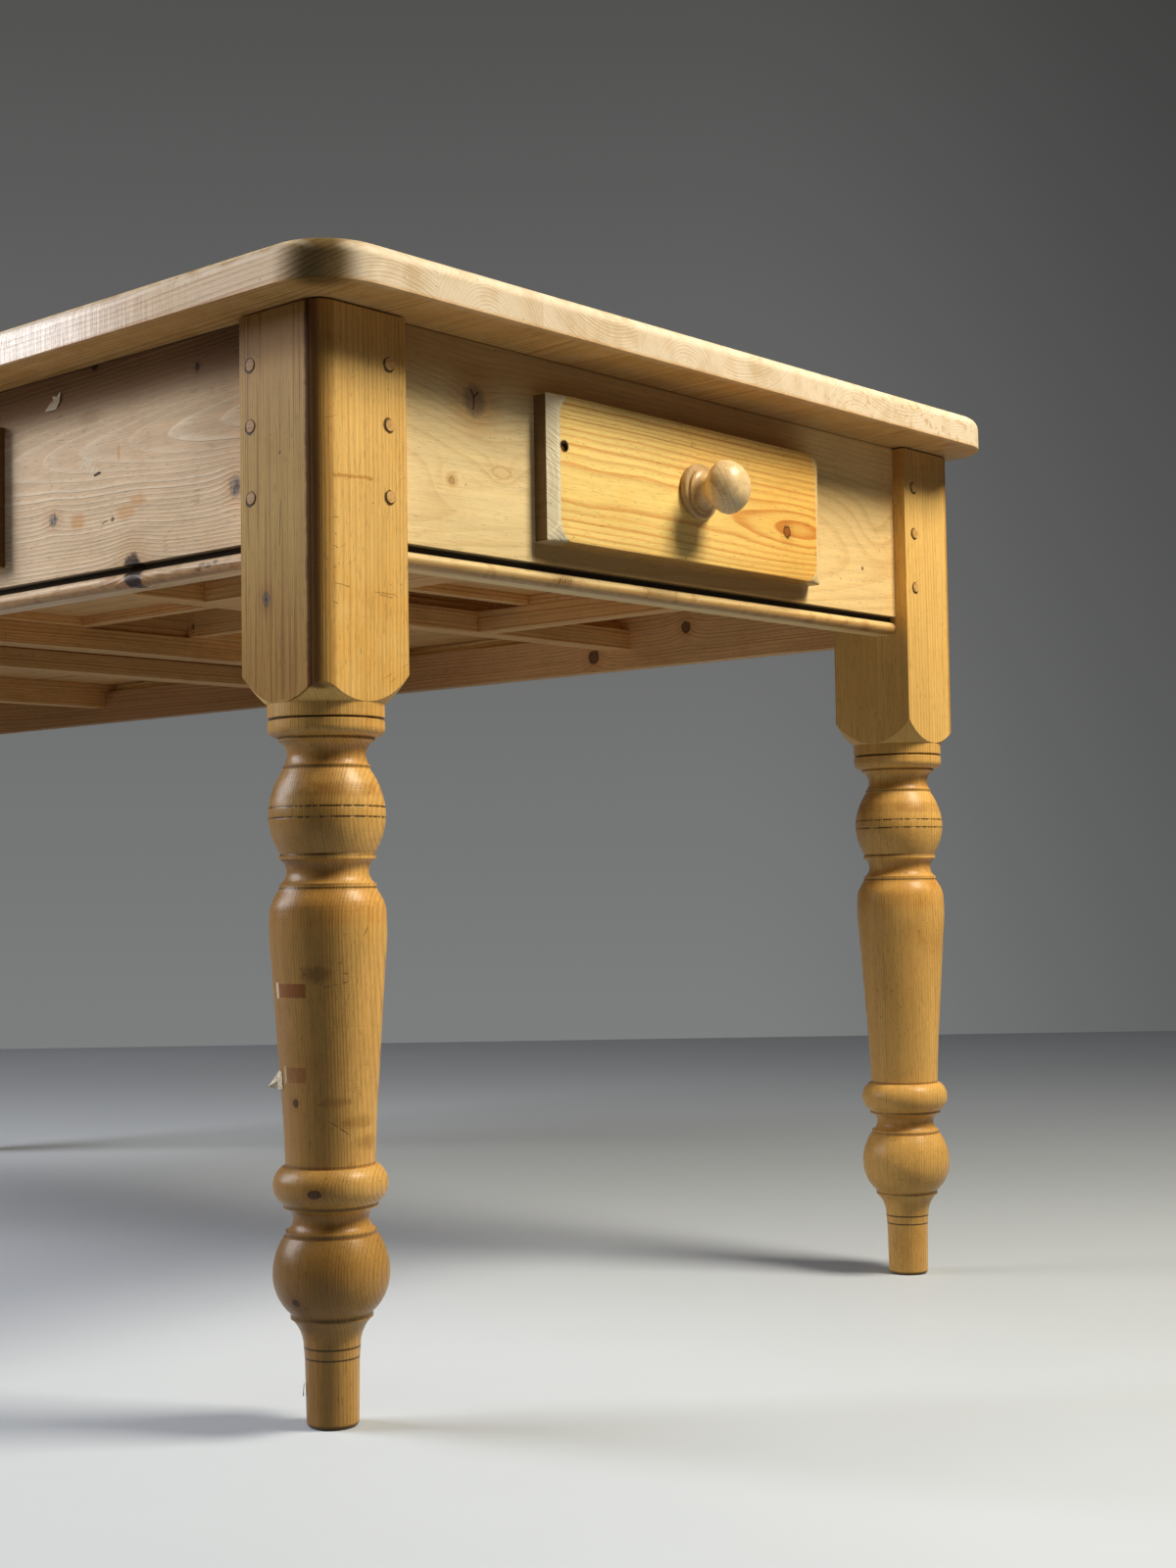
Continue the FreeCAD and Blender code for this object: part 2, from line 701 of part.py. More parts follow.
def make_front(name, x, y, turn, half, lip):
    """The lipped front: a plate with worked end bevels and a tongue inside the box."""
    front = new_body(name, x, y, turn)
    bevel_start = -(size.lip_thick - size.bevel_depth)
    edge = front_outline(ZERO, ZERO, size.front_corner, half + lip)
    prism(front, "Pad", name + "_plate", "XZ_Plane", bevel_start, ZERO, edge)
    outer = sketch_on(front, name + "_bevel_edge", "XZ_Plane", bevel_start, [edge])
    raised = front_outline(size.bevel_width, size.bevel_arris, size.bevel_corner, half + lip)
    inner = sketch_on(front, name + "_raised_face", "XZ_Plane", -size.lip_thick, [raised])
    bevel = front.newObject("PartDesign::AdditiveLoft", name + "_bevel")
    bevel.Profile = outer
    bevel.Sections = [inner]
    bevel.Ruled = True
    front.Tip = bevel
    doc.recompute()

    tongue = half - size.side_thick
    prism(front, "Pad", name + "_tongue", "XZ_Plane", ZERO, size.tongue_thick,
          rectangle(-tongue, tongue, box_low, box_high))
    groove_low = box_low + size.groove_rise
    groove_high = groove_low + size.bottom_thick + size.bottom_slack
    volume_cut(front, lambda: prism(
        front, "Pocket", name + "_groove", "XZ_Plane",
        size.tongue_thick - size.groove_depth, size.tongue_thick,
        rectangle(-tongue, tongue, groove_low, groove_high)))
    bore = size.spigot_diameter + size.spigot_clearance * 2
    volume_cut(front, lambda: prism(
        front, "Pocket", name + "_knob_bore", "XZ_Plane", -size.lip_thick, size.tongue_thick,
        circle(ZERO, knob_height, bore)))
    return front


def pierce_nail_hole(front, half):
    """The old hole near the left end of the end drawer's front."""
    hole_x = -(half + size.end_lip) + size.nail_hole_inset
    hole_z = (box_low + box_high) / 2 + size.nail_hole_rise
    volume_cut(front, lambda: prism(
        front, "Pocket", "nail_hole", "XZ_Plane",
        -size.lip_thick, -size.lip_thick + size.nail_hole_depth,
        circle(hole_x, hole_z, size.nail_hole_diameter)))


def make_side(name, x, y, turn, half, depth, hand):
    """A drawer side, grooved on its inner face."""
    side = new_body(name, x, y, turn)
    outer = half * hand
    inner = (half - size.side_thick) * hand
    floor = (half - size.side_thick + size.groove_depth) * hand
    groove_low = box_low + size.groove_rise
    groove_high = groove_low + size.bottom_thick + size.bottom_slack
    section = outline((inner, box_low), [
        ((outer, box_low),),
        ((outer, box_high),),
        ((inner, box_high),),
        ((inner, groove_high),),
        ((floor, groove_high),),
        ((floor, groove_low),),
        ((inner, groove_low),),
        ((inner, box_low),),
    ])
    prism(side, "Pad", name + "_board", "XZ_Plane", ZERO, depth, section)


def make_back(name, x, y, turn, half, depth):
    """A drawer back between the sides, grooved on its inner face."""
    back = new_body(name, x, y, turn)
    inner = depth - size.back_thick
    floor = inner + size.groove_depth
    groove_low = box_low + size.groove_rise
    groove_high = groove_low + size.bottom_thick + size.bottom_slack
    section = outline((inner, box_low), [
        ((depth, box_low),),
        ((depth, box_high),),
        ((inner, box_high),),
        ((inner, groove_high),),
        ((floor, groove_high),),
        ((floor, groove_low),),
        ((inner, groove_low),),
        ((inner, box_low),),
    ])
    tongue = half - size.side_thick
    prism(back, "Pad", name + "_board", "YZ_Plane", -tongue, tongue, section)


def make_bottom(name, x, y, turn, half, depth):
    """A thin bottom held in the grooves of the other four boards."""
    bottom = new_body(name, x, y, turn)
    hold = size.groove_depth - size.bottom_end_gap
    wide = half - size.side_thick + hold
    front_edge = size.tongue_thick - hold
    back_edge = depth - size.back_thick + hold
    low = box_low + size.groove_rise
    prism(bottom, "Pad", name + "_panel", "XY_Plane", low, low + size.bottom_thick,
          rectangle(-wide, wide, front_edge, back_edge))


def make_knob(name, x, y, turn):
    """A turned mushroom knob with its spigot."""
    knob = new_body(name, x, y, turn)
    flange = size.knob_flange / 2
    head = size.knob_head / 2
    neck = size.knob_neck / 2
    spigot = size.spigot_diameter / 2
    nose = size.knob_projection

    def point(radius, outward):
        """A point of the knob, measured outward from the drawer's face."""
        return radius, -(size.lip_thick + outward)

    hidden = -(size.lip_thick + size.tongue_thick)
    profile = outline(point(ZERO, hidden), [
        [point(spigot, hidden)],
        [point(spigot, ZERO)],
        [point(flange - 1, ZERO)],
        [point(flange, as_size(2.6)), point(flange - 1.4, as_size(5.4))],
        [point(flange - 4.2, as_size(6))],
        [point(flange - 4.6, as_size(8))],
        [point(neck + 0.6, as_size(11.5)), point(neck + 0.4, nose * 0.4)],
        [point(head - 3.2, nose * 0.5), point(head, nose * 0.65)],
        [point(head * 0.7, nose * 0.91), point(ZERO, nose)],
        [point(ZERO, hidden)],
    ])
    turned(knob, "Revolution", name + "_turning", "XY_Plane", knob_height, profile)


def make_drawer(name, x, y, turn, half, depth, lip):
    """Front, two sides, back, bottom and knob of one drawer."""
    front = make_front(name + "_front", x, y, turn, half, lip)
    make_side(name + "_side_left", x, y, turn, half, depth, -1)
    make_side(name + "_side_right", x, y, turn, half, depth, 1)
    make_back(name + "_back", x, y, turn, half, depth)
    make_bottom(name + "_bottom", x, y, turn, half, depth)
    make_knob(name + "_knob", x, y, turn)
    return front


# ---------------------------------------------------------------- assembly

knob_height = (box_low + box_high) / 2 + size.knob_rise
side_bays = [(-bay_x, side_half), (bay_x, side_half)]

make_top()
make_legs()
make_apron("apron_near", ZERO, -long_face_y, 0, long_shoulder, size.long_peg_inset,
           side_bays, rail_spans())
make_apron("apron_far", ZERO, long_face_y, 180, long_shoulder, size.long_peg_inset,
           side_bays, rail_spans())
make_apron("apron_right", end_face_x, ZERO, 90, end_shoulder, size.end_peg_inset,
           [(end_bay_y, end_half)], runner_spans())
make_apron("apron_left", -end_face_x, ZERO, -90, end_shoulder, size.end_peg_inset, [], [])
make_pegs()
make_carcass()

end_front = make_drawer("end_drawer", end_face_x, end_bay_y, 90,
                        end_half, size.end_box_depth, size.end_lip)
pierce_nail_hole(end_front, end_half)
for name, x, y, turn in (
    ("near_right_drawer", bay_x, -long_face_y, 0),
    ("near_left_drawer", -bay_x, -long_face_y, 0),
    ("far_right_drawer", bay_x, long_face_y, 180),
    ("far_left_drawer", -bay_x, long_face_y, 180),
):
    make_drawer(name, x, y, turn, side_half, size.side_box_depth, size.side_lip)

doc.recompute()
for item in doc.Objects:
    if "Invalid" in item.State or "Error" in item.State:
        raise RuntimeError(f"{item.Label} failed: {item.State}")
for item in parts:
    if item.Shape.isNull() or not item.Shape.isValid():
        raise RuntimeError(f"{item.Label} has no sound shape")

os.makedirs("parts", exist_ok=True)
for item in parts:
    item.Shape.exportStep(f"parts/{item.Label}.step")
print(len(parts), "pieces written")
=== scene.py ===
"""Pine farmhouse table with drawers: the finish of every piece, laid out as an add-on.

Metres, in the model's own frame: X runs along the table, Y across it, Z up from the floor.
"""
import math

import bmesh
import bpy
from bpy.props import FloatProperty, FloatVectorProperty, PointerProperty
from mathutils import Matrix, Vector


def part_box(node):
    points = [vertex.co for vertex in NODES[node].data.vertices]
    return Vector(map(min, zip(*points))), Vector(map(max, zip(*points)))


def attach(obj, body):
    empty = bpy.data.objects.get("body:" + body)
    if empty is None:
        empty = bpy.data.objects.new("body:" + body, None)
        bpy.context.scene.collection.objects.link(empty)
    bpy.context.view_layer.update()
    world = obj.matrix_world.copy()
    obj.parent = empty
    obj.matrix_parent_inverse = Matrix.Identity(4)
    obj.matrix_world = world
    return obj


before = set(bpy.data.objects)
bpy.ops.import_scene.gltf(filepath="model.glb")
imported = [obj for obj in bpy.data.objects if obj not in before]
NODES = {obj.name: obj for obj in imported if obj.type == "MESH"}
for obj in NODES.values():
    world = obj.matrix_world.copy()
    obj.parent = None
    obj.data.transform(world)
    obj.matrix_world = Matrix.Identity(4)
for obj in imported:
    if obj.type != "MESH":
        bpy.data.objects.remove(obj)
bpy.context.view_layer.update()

bl_info = {
    "name": "Pine Farmhouse Table",
    "version": (1, 0, 0),
    "blender": (4, 5, 0),
    "location": "View3D > Sidebar > Table",
    "description": "Finishes a pine kitchen table with drawers, piece by piece",
    "category": "Object",
}

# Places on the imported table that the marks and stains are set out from.
LEG_X, LEG_Y, BLOCK = 0.7675, 0.3425, 0.039     # a leg's axis and half its square block
SHOULDER = 0.472                                # the block's lower end
LONG_FACE, END_FACE = 0.3695, 0.7945            # the aprons' outer faces
TOP_EDGE_NEAR, TOP_END = -0.417, 0.851          # the top's near edge and its visible end
TOP_UNDER, TOP_ROUND = 0.732, 0.748             # its underside, and where its worn rim begins
GROOVE_LOW, GROOVE_HIGH = 0.5762, 0.5815        # the groove above the aprons' bead
PEG_HEIGHTS = (0.608, 0.656, 0.697)
PEG_LONG_X, PEG_END_Y = 0.7395, 0.3185          # the pegs' places along the two kinds of apron
FAR_INSIDE = 0.3475                             # the far apron's inner face
FRONT_FACE = 0.8105                             # the end drawer's front
NAIL_HOLE = (FRONT_FACE, -0.1497, 0.666)        # the old hole in it
SHADE_LOW, SHADE_HIGH = 0.684, 0.712            # where the top's shadow is painted on the aprons

SHARP_ANGLE = math.radians(28)                  # edges sharper than this are softened
JOINED_WITHIN = 0.00001                         # corners nearer than this are one
FLOOR_LIGHT = 0.36                              # share of the floor's colour that lights the table
PEN_BROWN = (120, 78, 34)                       # fine brown lines on the near leg
PEG_LINE = (0.0051, 0.0051, 0.0053)             # reach of the dark line round a peg

# Each lamp's place, the place it aims at, and the side of its square.
KEY_LAMP = (1.9, 0.52, 1.95), (0.8, -0.1, 0.5), 0.65
FILL_LAMP = (-2.1, -2.1, 2.05), (0.3, -0.3, 0.5), 2.0


def shown(red, green, blue):
    """A display colour, 0 to 255 a channel, as the linear colour that the sockets hold."""
    def linear(value):
        value /= 255
        return value / 12.92 if value <= 0.04045 else ((value + 0.055) / 1.055) ** 2.4
    return linear(red), linear(green), linear(blue)


def colour_prop(name, description, display):
    """A colour that a user can change."""
    return FloatVectorProperty(name=name, description=description, subtype="COLOR", size=3,
                               min=0, max=1, default=shown(*display))


def length_prop(name, description, metres):
    """A length that a user can change."""
    return FloatProperty(name=name, description=description, unit="LENGTH", default=metres,
                         precision=5)


def angle_prop(name, description, degrees):
    """An angle that a user can change."""
    return FloatProperty(name=name, description=description, unit="ROTATION", subtype="ANGLE",
                         default=math.radians(degrees))


def power_prop(name, description, watts):
    """A lamp's power that a user can change."""
    return FloatProperty(name=name, description=description, unit="POWER", default=watts)


# ---------------------------------------------------------------- settings

class TableStageSettings(bpy.types.PropertyGroup):
    """Camera, floor and lamps."""
    camera_place: FloatVectorProperty(
        name="Camera place", description="Where the camera stands", subtype="XYZ",
        unit="LENGTH", default=(1.8336, -1.2942, 0.3492))
    camera_azimuth: angle_prop("Azimuth", "Camera's turn about the table, 0 looks along +Y", 41.3)
    camera_elevation: angle_prop("Elevation", "Camera's height angle, below 0 it looks up", -2.7)
    camera_roll: angle_prop("Roll", "Camera's tilt about its own axis", -0.89)
    lens: FloatProperty(name="Lens", description="Focal length for a picture 36 mm high",
                        unit="CAMERA", default=49.27)
    floor_back: length_prop("Floor behind", "Floor from the middle of the table to its far edge",
                            2.69)
    floor_reach: length_prop("Floor reach",
                             "Floor from the middle of the table to its other edges", 5.0)
    floor_colour: colour_prop("Floor", "Pale painted floor near the table", (212, 222, 235))
    # Painted pool of light: the floor's colour dims away from the table.
    floor_dim_far_colour: colour_prop("Floor, far", "Painted floor away from the table",
                                  (166, 172, 181))
    backdrop_low_colour: colour_prop("Backdrop, low", "Background near the floor", (120, 122, 121))
    backdrop_high_colour: colour_prop("Backdrop, high", "Background high up", (76, 76, 75))
    key_power: power_prop("Key lamp", "Warm soft box on the drawer's end", 52)
    key_colour: FloatVectorProperty(name="Key colour", description="Warm white", subtype="COLOR",
                                    size=3, default=(1.0, 0.9, 0.72))
    fill_power: power_prop("Fill lamp", "Soft box that rakes along the long side", 128)
    fill_colour: FloatVectorProperty(name="Fill colour", description="Neutral white",
                                     subtype="COLOR", size=3, default=(1.0, 0.98, 0.97))
    room_light: FloatProperty(
        name="Room light", description="Even light from all round", default=0.05)


class TablePineSettings(bpy.types.PropertyGroup):
    """Colours of the pine: the pale early wood and the dark late wood of each finish."""
    leg_early: colour_prop("Leg, early wood", "Waxed leg between its growth lines",
                           (246, 202, 120))
    leg_late: colour_prop("Leg, late wood", "Waxed leg on its growth lines", (212, 154, 80))
    apron_early: colour_prop("Apron, early wood", "Apron between its growth lines",
                             (248, 224, 170))
    apron_late: colour_prop("Apron, late wood", "Apron on its growth lines", (220, 184, 124))
    long_early: colour_prop("Long apron, early wood", "Bleached long apron", (236, 206, 170))
    long_late: colour_prop("Long apron, late wood", "Raised lines of the long apron",
                           (255, 236, 208))
    top_early: colour_prop("Top, early wood", "Plank top between its growth lines",
                           (228, 200, 148))
    top_late: colour_prop("Top, late wood", "Plank top on its growth lines", (196, 154, 98))
    front_early: colour_prop("Drawer front, early wood", "Waxed drawer front, pale",
                             (254, 221, 137))
    front_late: colour_prop("Drawer front, late wood", "Waxed drawer front, dark lines",
                            (212, 132, 50))
    inner_early: colour_prop("Inner parts, early wood", "Rails, runners and boxes, pale",
                             (232, 182, 116))
    inner_late: colour_prop("Inner parts, late wood", "Rails, runners and boxes, dark",
                            (196, 134, 72))
    knob_early: colour_prop("Knob, early wood", "Turned knob, pale", (255, 226, 174))
    knob_late: colour_prop("Knob, late wood", "Turned knob, dark", (216, 180, 130))
    peg_colour: colour_prop("Pegs", "End grain of the pegs", (226, 182, 116))
    knot_colour: colour_prop("Knots", "Heart of a knot", (96, 58, 28))
    rim_colour: colour_prop("Knot rims", "Bark line round a knot", (44, 26, 14))
    blue_colour: colour_prop("Weathered knots", "Blue-grey knots in bleached wood",
                             (150, 138, 124))
    grime_colour: colour_prop("Grime", "Old wax and dirt in corners", (44, 28, 14))
    amber_colour: colour_prop("Resin", "Amber patches of resin and old varnish", (218, 158, 88))
    raw_colour: colour_prop("Raw wood", "Torn and scuffed pale wood", (246, 232, 208))
    tape_colour: colour_prop("Old tape", "Brown glue left by a strip of tape", (150, 92, 36))
    ring_width: length_prop("Ring width", "One year's growth", 0.003)
    grain_relief: length_prop("Grain relief", "Late wood standing proud", 0.0003)


class TableWearSettings(bpy.types.PropertyGroup):
    """Softened edges."""
    leg_edge: length_prop("Leg edges", "Softening of the legs' edges", 0.0009)
    apron_edge: length_prop("Apron edges", "Softening of the aprons' edges", 0.0008)
    top_edge: length_prop("Plank joints", "Softening of the planks' edges", 0.0003)
    front_edge: length_prop("Front edges", "Softening of the drawer fronts' edges", 0.001)
    box_edge: length_prop("Box edges", "Softening of rails and drawer boxes", 0.0007)


# ---------------------------------------------------------------- shader graphs

ORIGIN = (0.0, 0.0, 0.0)


class Graph:
    """Short calls for the nodes of one shader tree."""

    def __init__(self, tree):
        self.tree = tree

    def node(self, kind, feeds=(), **choices):
        """A node with its choices set and its inputs linked or given values."""
        node = self.tree.nodes.new("ShaderNode" + kind)
        for name, choice in choices.items():
            setattr(node, name, choice)
        for socket, feed in dict(feeds).items():
            self.feed(node.inputs[socket], feed)
        return node

    def feed(self, socket, value):
        """Links a socket to another, or gives it a value; None leaves it alone."""
        if isinstance(value, bpy.types.NodeSocket):
            self.tree.links.new(value, socket)
        elif value is not None:
            if socket.type == "RGBA" and len(value) == 3:
                value = (*value, 1)
            socket.default_value = value

    def math(self, operation, a, b=None, clamp=False):
        """One number from one or two."""
        node = self.node("Math", {0: a, 1: b}, operation=operation, use_clamp=clamp)
        return node.outputs[0]

    def times(self, *values):
        """The product of several numbers."""
        product = values[0]
        for value in values[1:]:
            product = self.math("MULTIPLY", product, value)
        return product

    def plus(self, a, b):
        """The sum of two numbers."""
        return self.math("ADD", a, b)

    def minus(self, a, b):
        """One number less another."""
        return self.math("SUBTRACT", a, b)

    def gap(self, a, b):
        """How far apart two numbers are."""
        return self.math("ABSOLUTE", self.minus(a, b))

    def vector(self, operation, a, b=None, scale=None):
        """One vector, or a length or dot product, from one or two vectors."""
        feeds = {0: a, 1: b} if scale is None else {0: a, "Scale": scale}
        node = self.node("VectorMath", feeds, operation=operation)
        number = operation in ("LENGTH", "DOT_PRODUCT", "DISTANCE")
        return node.outputs["Value" if number else "Vector"]

    def scaled(self, vector, factor):
        """A vector made longer or shorter."""
        return self.vector("SCALE", vector, scale=factor)

    def join(self, x=0.0, y=0.0, z=0.0):
        """A vector or a colour from three numbers."""
        return self.node("CombineXYZ", {"X": x, "Y": y, "Z": z}).outputs[0]

    def split(self, vector):
        """The three numbers of a vector."""
        return self.node("SeparateXYZ", {"Vector": vector}).outputs[:3]

    def span(self, value, low, high, to_low=0.0, to_high=1.0, kind="SMOOTHSTEP"):
        """A number remapped from one span to another, held at its ends."""
        feeds = {"Value": value, "From Min": low, "From Max": high,
                 "To Min": to_low, "To Max": to_high}
        return self.node("MapRange", feeds, interpolation_type=kind).outputs[0]

    def noise(self, vector, finer=None, scale=1.0, detail=2.0, roughness=0.5, output="Fac"):
        """Soft noise from 0 to 1, made finer along each axis by a number of its own."""
        if finer:
            vector = self.vector("MULTIPLY", vector, finer)
        node = self.node("TexNoise", {"Vector": vector, "Scale": scale, "Detail": detail,
                                      "Roughness": roughness})
        return node.outputs[output]

    def noise_vector(self, vector, finer=None, detail=1.0):
        """Three soft noises, each from -0.5 to 0.5."""
        noise = self.noise(vector, finer, detail=detail, output="Color")
        return self.vector("SUBTRACT", noise, (0.5, 0.5, 0.5))

    def wobble(self, place, fineness, reach, detail=2.0):
        """A small shift that changes unsteadily from place to place."""
        return self.scaled(self.noise_vector(self.scaled(place, fineness), detail=detail), reach)

    def blend(self, factor, a, b, kind="MIX"):
        """Two colours mixed."""
        node = self.node("Mix", {"Factor": factor, 6: a, 7: b},
                         data_type="RGBA", blend_type=kind, clamp_factor=True)
        return node.outputs[2]

    def tinted(self, colour, tint):
        """A colour multiplied by another."""
        return self.blend(1.0, colour, tint, "MULTIPLY")

    def group(self, tree, feeds):
        """One of the shared effects."""
        return self.node("Group", feeds, node_tree=tree).outputs

    def seen(self):
        """1 where the camera looks, or sees in a gloss, and 0 for light sent to other things."""
        path = self.node("LightPath").outputs
        return self.math("MAXIMUM", path["Is Camera Ray"],
                         self.math("MAXIMUM", path["Is Glossy Ray"], path["Is Transmission Ray"]))


def empty_graph(block):
    """The emptied shader tree of a new material or world."""
    block.use_nodes = True
    block.node_tree.nodes.clear()
    return Graph(block.node_tree)


def start_effect(name, inputs):
    """An empty shader group; an input is a vector or a number, as its default is."""
    tree = bpy.data.node_groups.new(name, "ShaderNodeTree")
    for label, default in inputs.items():
        kind = "NodeSocketVector" if isinstance(default, tuple) else "NodeSocketFloat"
        socket = tree.interface.new_socket(label, in_out="INPUT", socket_type=kind)
        socket.default_value = default
    return Graph(tree), tree.nodes.new("NodeGroupInput").outputs


def end_effect(g, outputs):
    """Puts out a shader group's masks and values, and gives the group."""
    for label in outputs:
        g.tree.interface.new_socket(label, in_out="OUTPUT", socket_type="NodeSocketFloat")
    result = g.tree.nodes.new("NodeGroupOutput")
    for label, socket in outputs.items():
        g.feed(result.inputs[label], socket)
    return g.tree


def make_grain_effect():
    """Growth rings round a pith line along X, with fine fibres, short pores and slow tones."""
    g, given = start_effect("Pine grain", {
        "Position": ORIGIN, "Ring width": 0.003, "Bend": 0.012, "Lift": 0.0, "Seed": 0.0})
    seed, bend = given["Seed"], given["Bend"]
    place = g.vector("ADD", given["Position"], g.scaled(g.join(seed, seed, seed), 3.7))
    slow = g.scaled(g.noise_vector(place, (1.6, 4.0, 4.0)), bend)
    quick = g.scaled(g.noise_vector(place, (9.0, 26.0, 26.0), detail=2.0), g.times(bend, 0.16))
    bent = g.vector("ADD", g.vector("ADD", given["Position"], slow), quick)
    _, across, deep = g.split(bent)
    radius = g.math("SQRT", g.plus(g.times(across, across), g.times(deep, deep)))
    years = g.math("DIVIDE", radius, given["Ring width"])
    uneven = g.noise(g.join(g.times(radius, 70.0), seed))
    years = g.plus(g.plus(years, g.times(uneven, 2.6)), given["Lift"])
    part = g.math("FRACT", years)
    chance = g.node("TexWhiteNoise", {"W": g.plus(g.math("FLOOR", years), seed)},
                    noise_dimensions="1D").outputs["Value"]
    rise = g.math("POWER", g.span(part, 0.22, 0.86), 2.0)
    fall = g.span(part, 0.88, 0.99, 1.0, 0.0)
    pores = g.noise(place, (120.0, 1400.0, 1400.0), detail=0.0)
    return end_effect(g, {
        "Late": g.times(rise, fall, g.span(chance, 0.0, 1.0, 0.35, 1.0, "LINEAR")),
        "Fibre": g.noise(place, (26.0, 1100.0, 1100.0), roughness=0.6),
        "Tone": g.noise(place, (2.5, 8.0, 8.0), detail=3.0),
        "Streak": g.noise(place, (3.0, 160.0, 160.0), detail=3.0),
        "Pores": g.span(pores, 0.66, 0.76)})


def make_knot_effect():
    """One knot: its lift of the growth lines, its heart, its dark rim and the stain round it."""
    g, given = start_effect("Knot", {
        "Position": ORIGIN, "Centre": ORIGIN, "Reach": (0.01, 0.01, 0.01), "Lean": ORIGIN,
        "Swell": (0.02, 0.02, 0.02), "Lift": 3.0})
    away = g.vector("SUBTRACT", given["Position"], given["Centre"])
    size = g.vector("DIVIDE", away, given["Reach"])
    near = g.vector("LENGTH", g.vector("ADD", size, g.wobble(given["Position"], 260.0, 0.7)))
    leaning = g.vector("SUBTRACT", away, given["Lean"])
    far = g.vector("LENGTH", g.vector("DIVIDE", leaning, given["Swell"]))
    return end_effect(g, {
        "Lift": g.math("DIVIDE", given["Lift"], g.plus(1.0, g.times(far, far))),
        "Heart": g.span(near, 0.85, 1.1, 1.0, 0.0),
        "Rim": g.times(g.span(near, 0.72, 0.95), g.span(near, 1.0, 1.35, 1.0, 0.0)),
        "Stain": g.span(g.vector("LENGTH", size), 1.0, 3.4, 1.0, 0.0)})


def make_spot_effect():
    """One patch with a ragged, soft outline."""
    g, given = start_effect("Spot", {
        "Position": ORIGIN, "Centre": ORIGIN, "Reach": (0.01, 0.01, 0.01), "Ragged": 0.4,
        "Soft": 0.3})
    place, soft = given["Position"], given["Soft"]
    away = g.vector("DIVIDE", g.vector("SUBTRACT", place, given["Centre"]), given["Reach"])
    wobble = g.wobble(place, 220.0, g.times(given["Ragged"], 2.0), detail=3.0)
    near = g.vector("LENGTH", g.vector("ADD", away, wobble))
    return end_effect(g, {"Mask": g.span(near, g.minus(1.0, soft), g.plus(1.0, soft), 1.0, 0.0)})


def make_stroke_effect():
    """One scratch or line from a start to an end, a little unsteady."""
    g, given = start_effect("Stroke", {
        "Position": ORIGIN, "Start": ORIGIN, "End": ORIGIN, "Width": 0.001, "Ragged": 0.5})
    place, width = given["Position"], given["Width"]
    along = g.vector("SUBTRACT", given["End"], given["Start"])
    away = g.vector("SUBTRACT", place, given["Start"])
    part = g.math("DIVIDE", g.vector("DOT_PRODUCT", away, along),
                  g.vector("DOT_PRODUCT", along, along), clamp=True)
    off = g.vector("SUBTRACT", away, g.scaled(along, part))
    wobble = g.wobble(place, 300.0, g.times(width, given["Ragged"], 4.0))
    near = g.math("DIVIDE", g.vector("LENGTH", g.vector("ADD", off, wobble)), width)
    return end_effect(g, {"Mask": g.span(near, 0.45, 1.1, 1.0, 0.0)})


def make_scuff_effect():
    """Scattered marks of use: thin scratches, dirty patches and dark specks."""
    g, given = start_effect("Scuffs", {"Position": ORIGIN, "Seed": 0.0})
    seed = given["Seed"]
    place = g.vector("ADD", given["Position"], g.join(seed, seed, seed))
    turned = g.node("Mapping", {"Vector": place, "Rotation": (0.7, 0.5, 0.9)}).outputs[0]
    thin = g.noise(turned, (700.0, 16.0, 60.0), detail=1.0)
    where = g.noise(place, scale=19.0, detail=1.0)
    return end_effect(g, {
        "Scratches": g.times(g.span(thin, 0.7, 0.76), g.span(where, 0.54, 0.66)),
        "Patches": g.span(g.noise(place, scale=13.0, detail=5.0, roughness=0.62), 0.5, 0.72),
        "Specks": g.span(g.noise(place, scale=330.0, detail=1.0), 0.745, 0.79)})


def effect(name, maker):
    """A shared effect, built the first time it is asked for."""
    return bpy.data.node_groups.get(name) or maker()


def tones(finish):
    """The early and the late wood of a finish, from the settings."""
    pine = bpy.context.scene.table_pine
    return getattr(pine, finish + "_early"), getattr(pine, finish + "_late")


# The coordinate along the grain, then the two across it.
AXES = {"X": (0, 1, 2), "Y": (1, 0, 2), "Z": (2, 0, 1)}


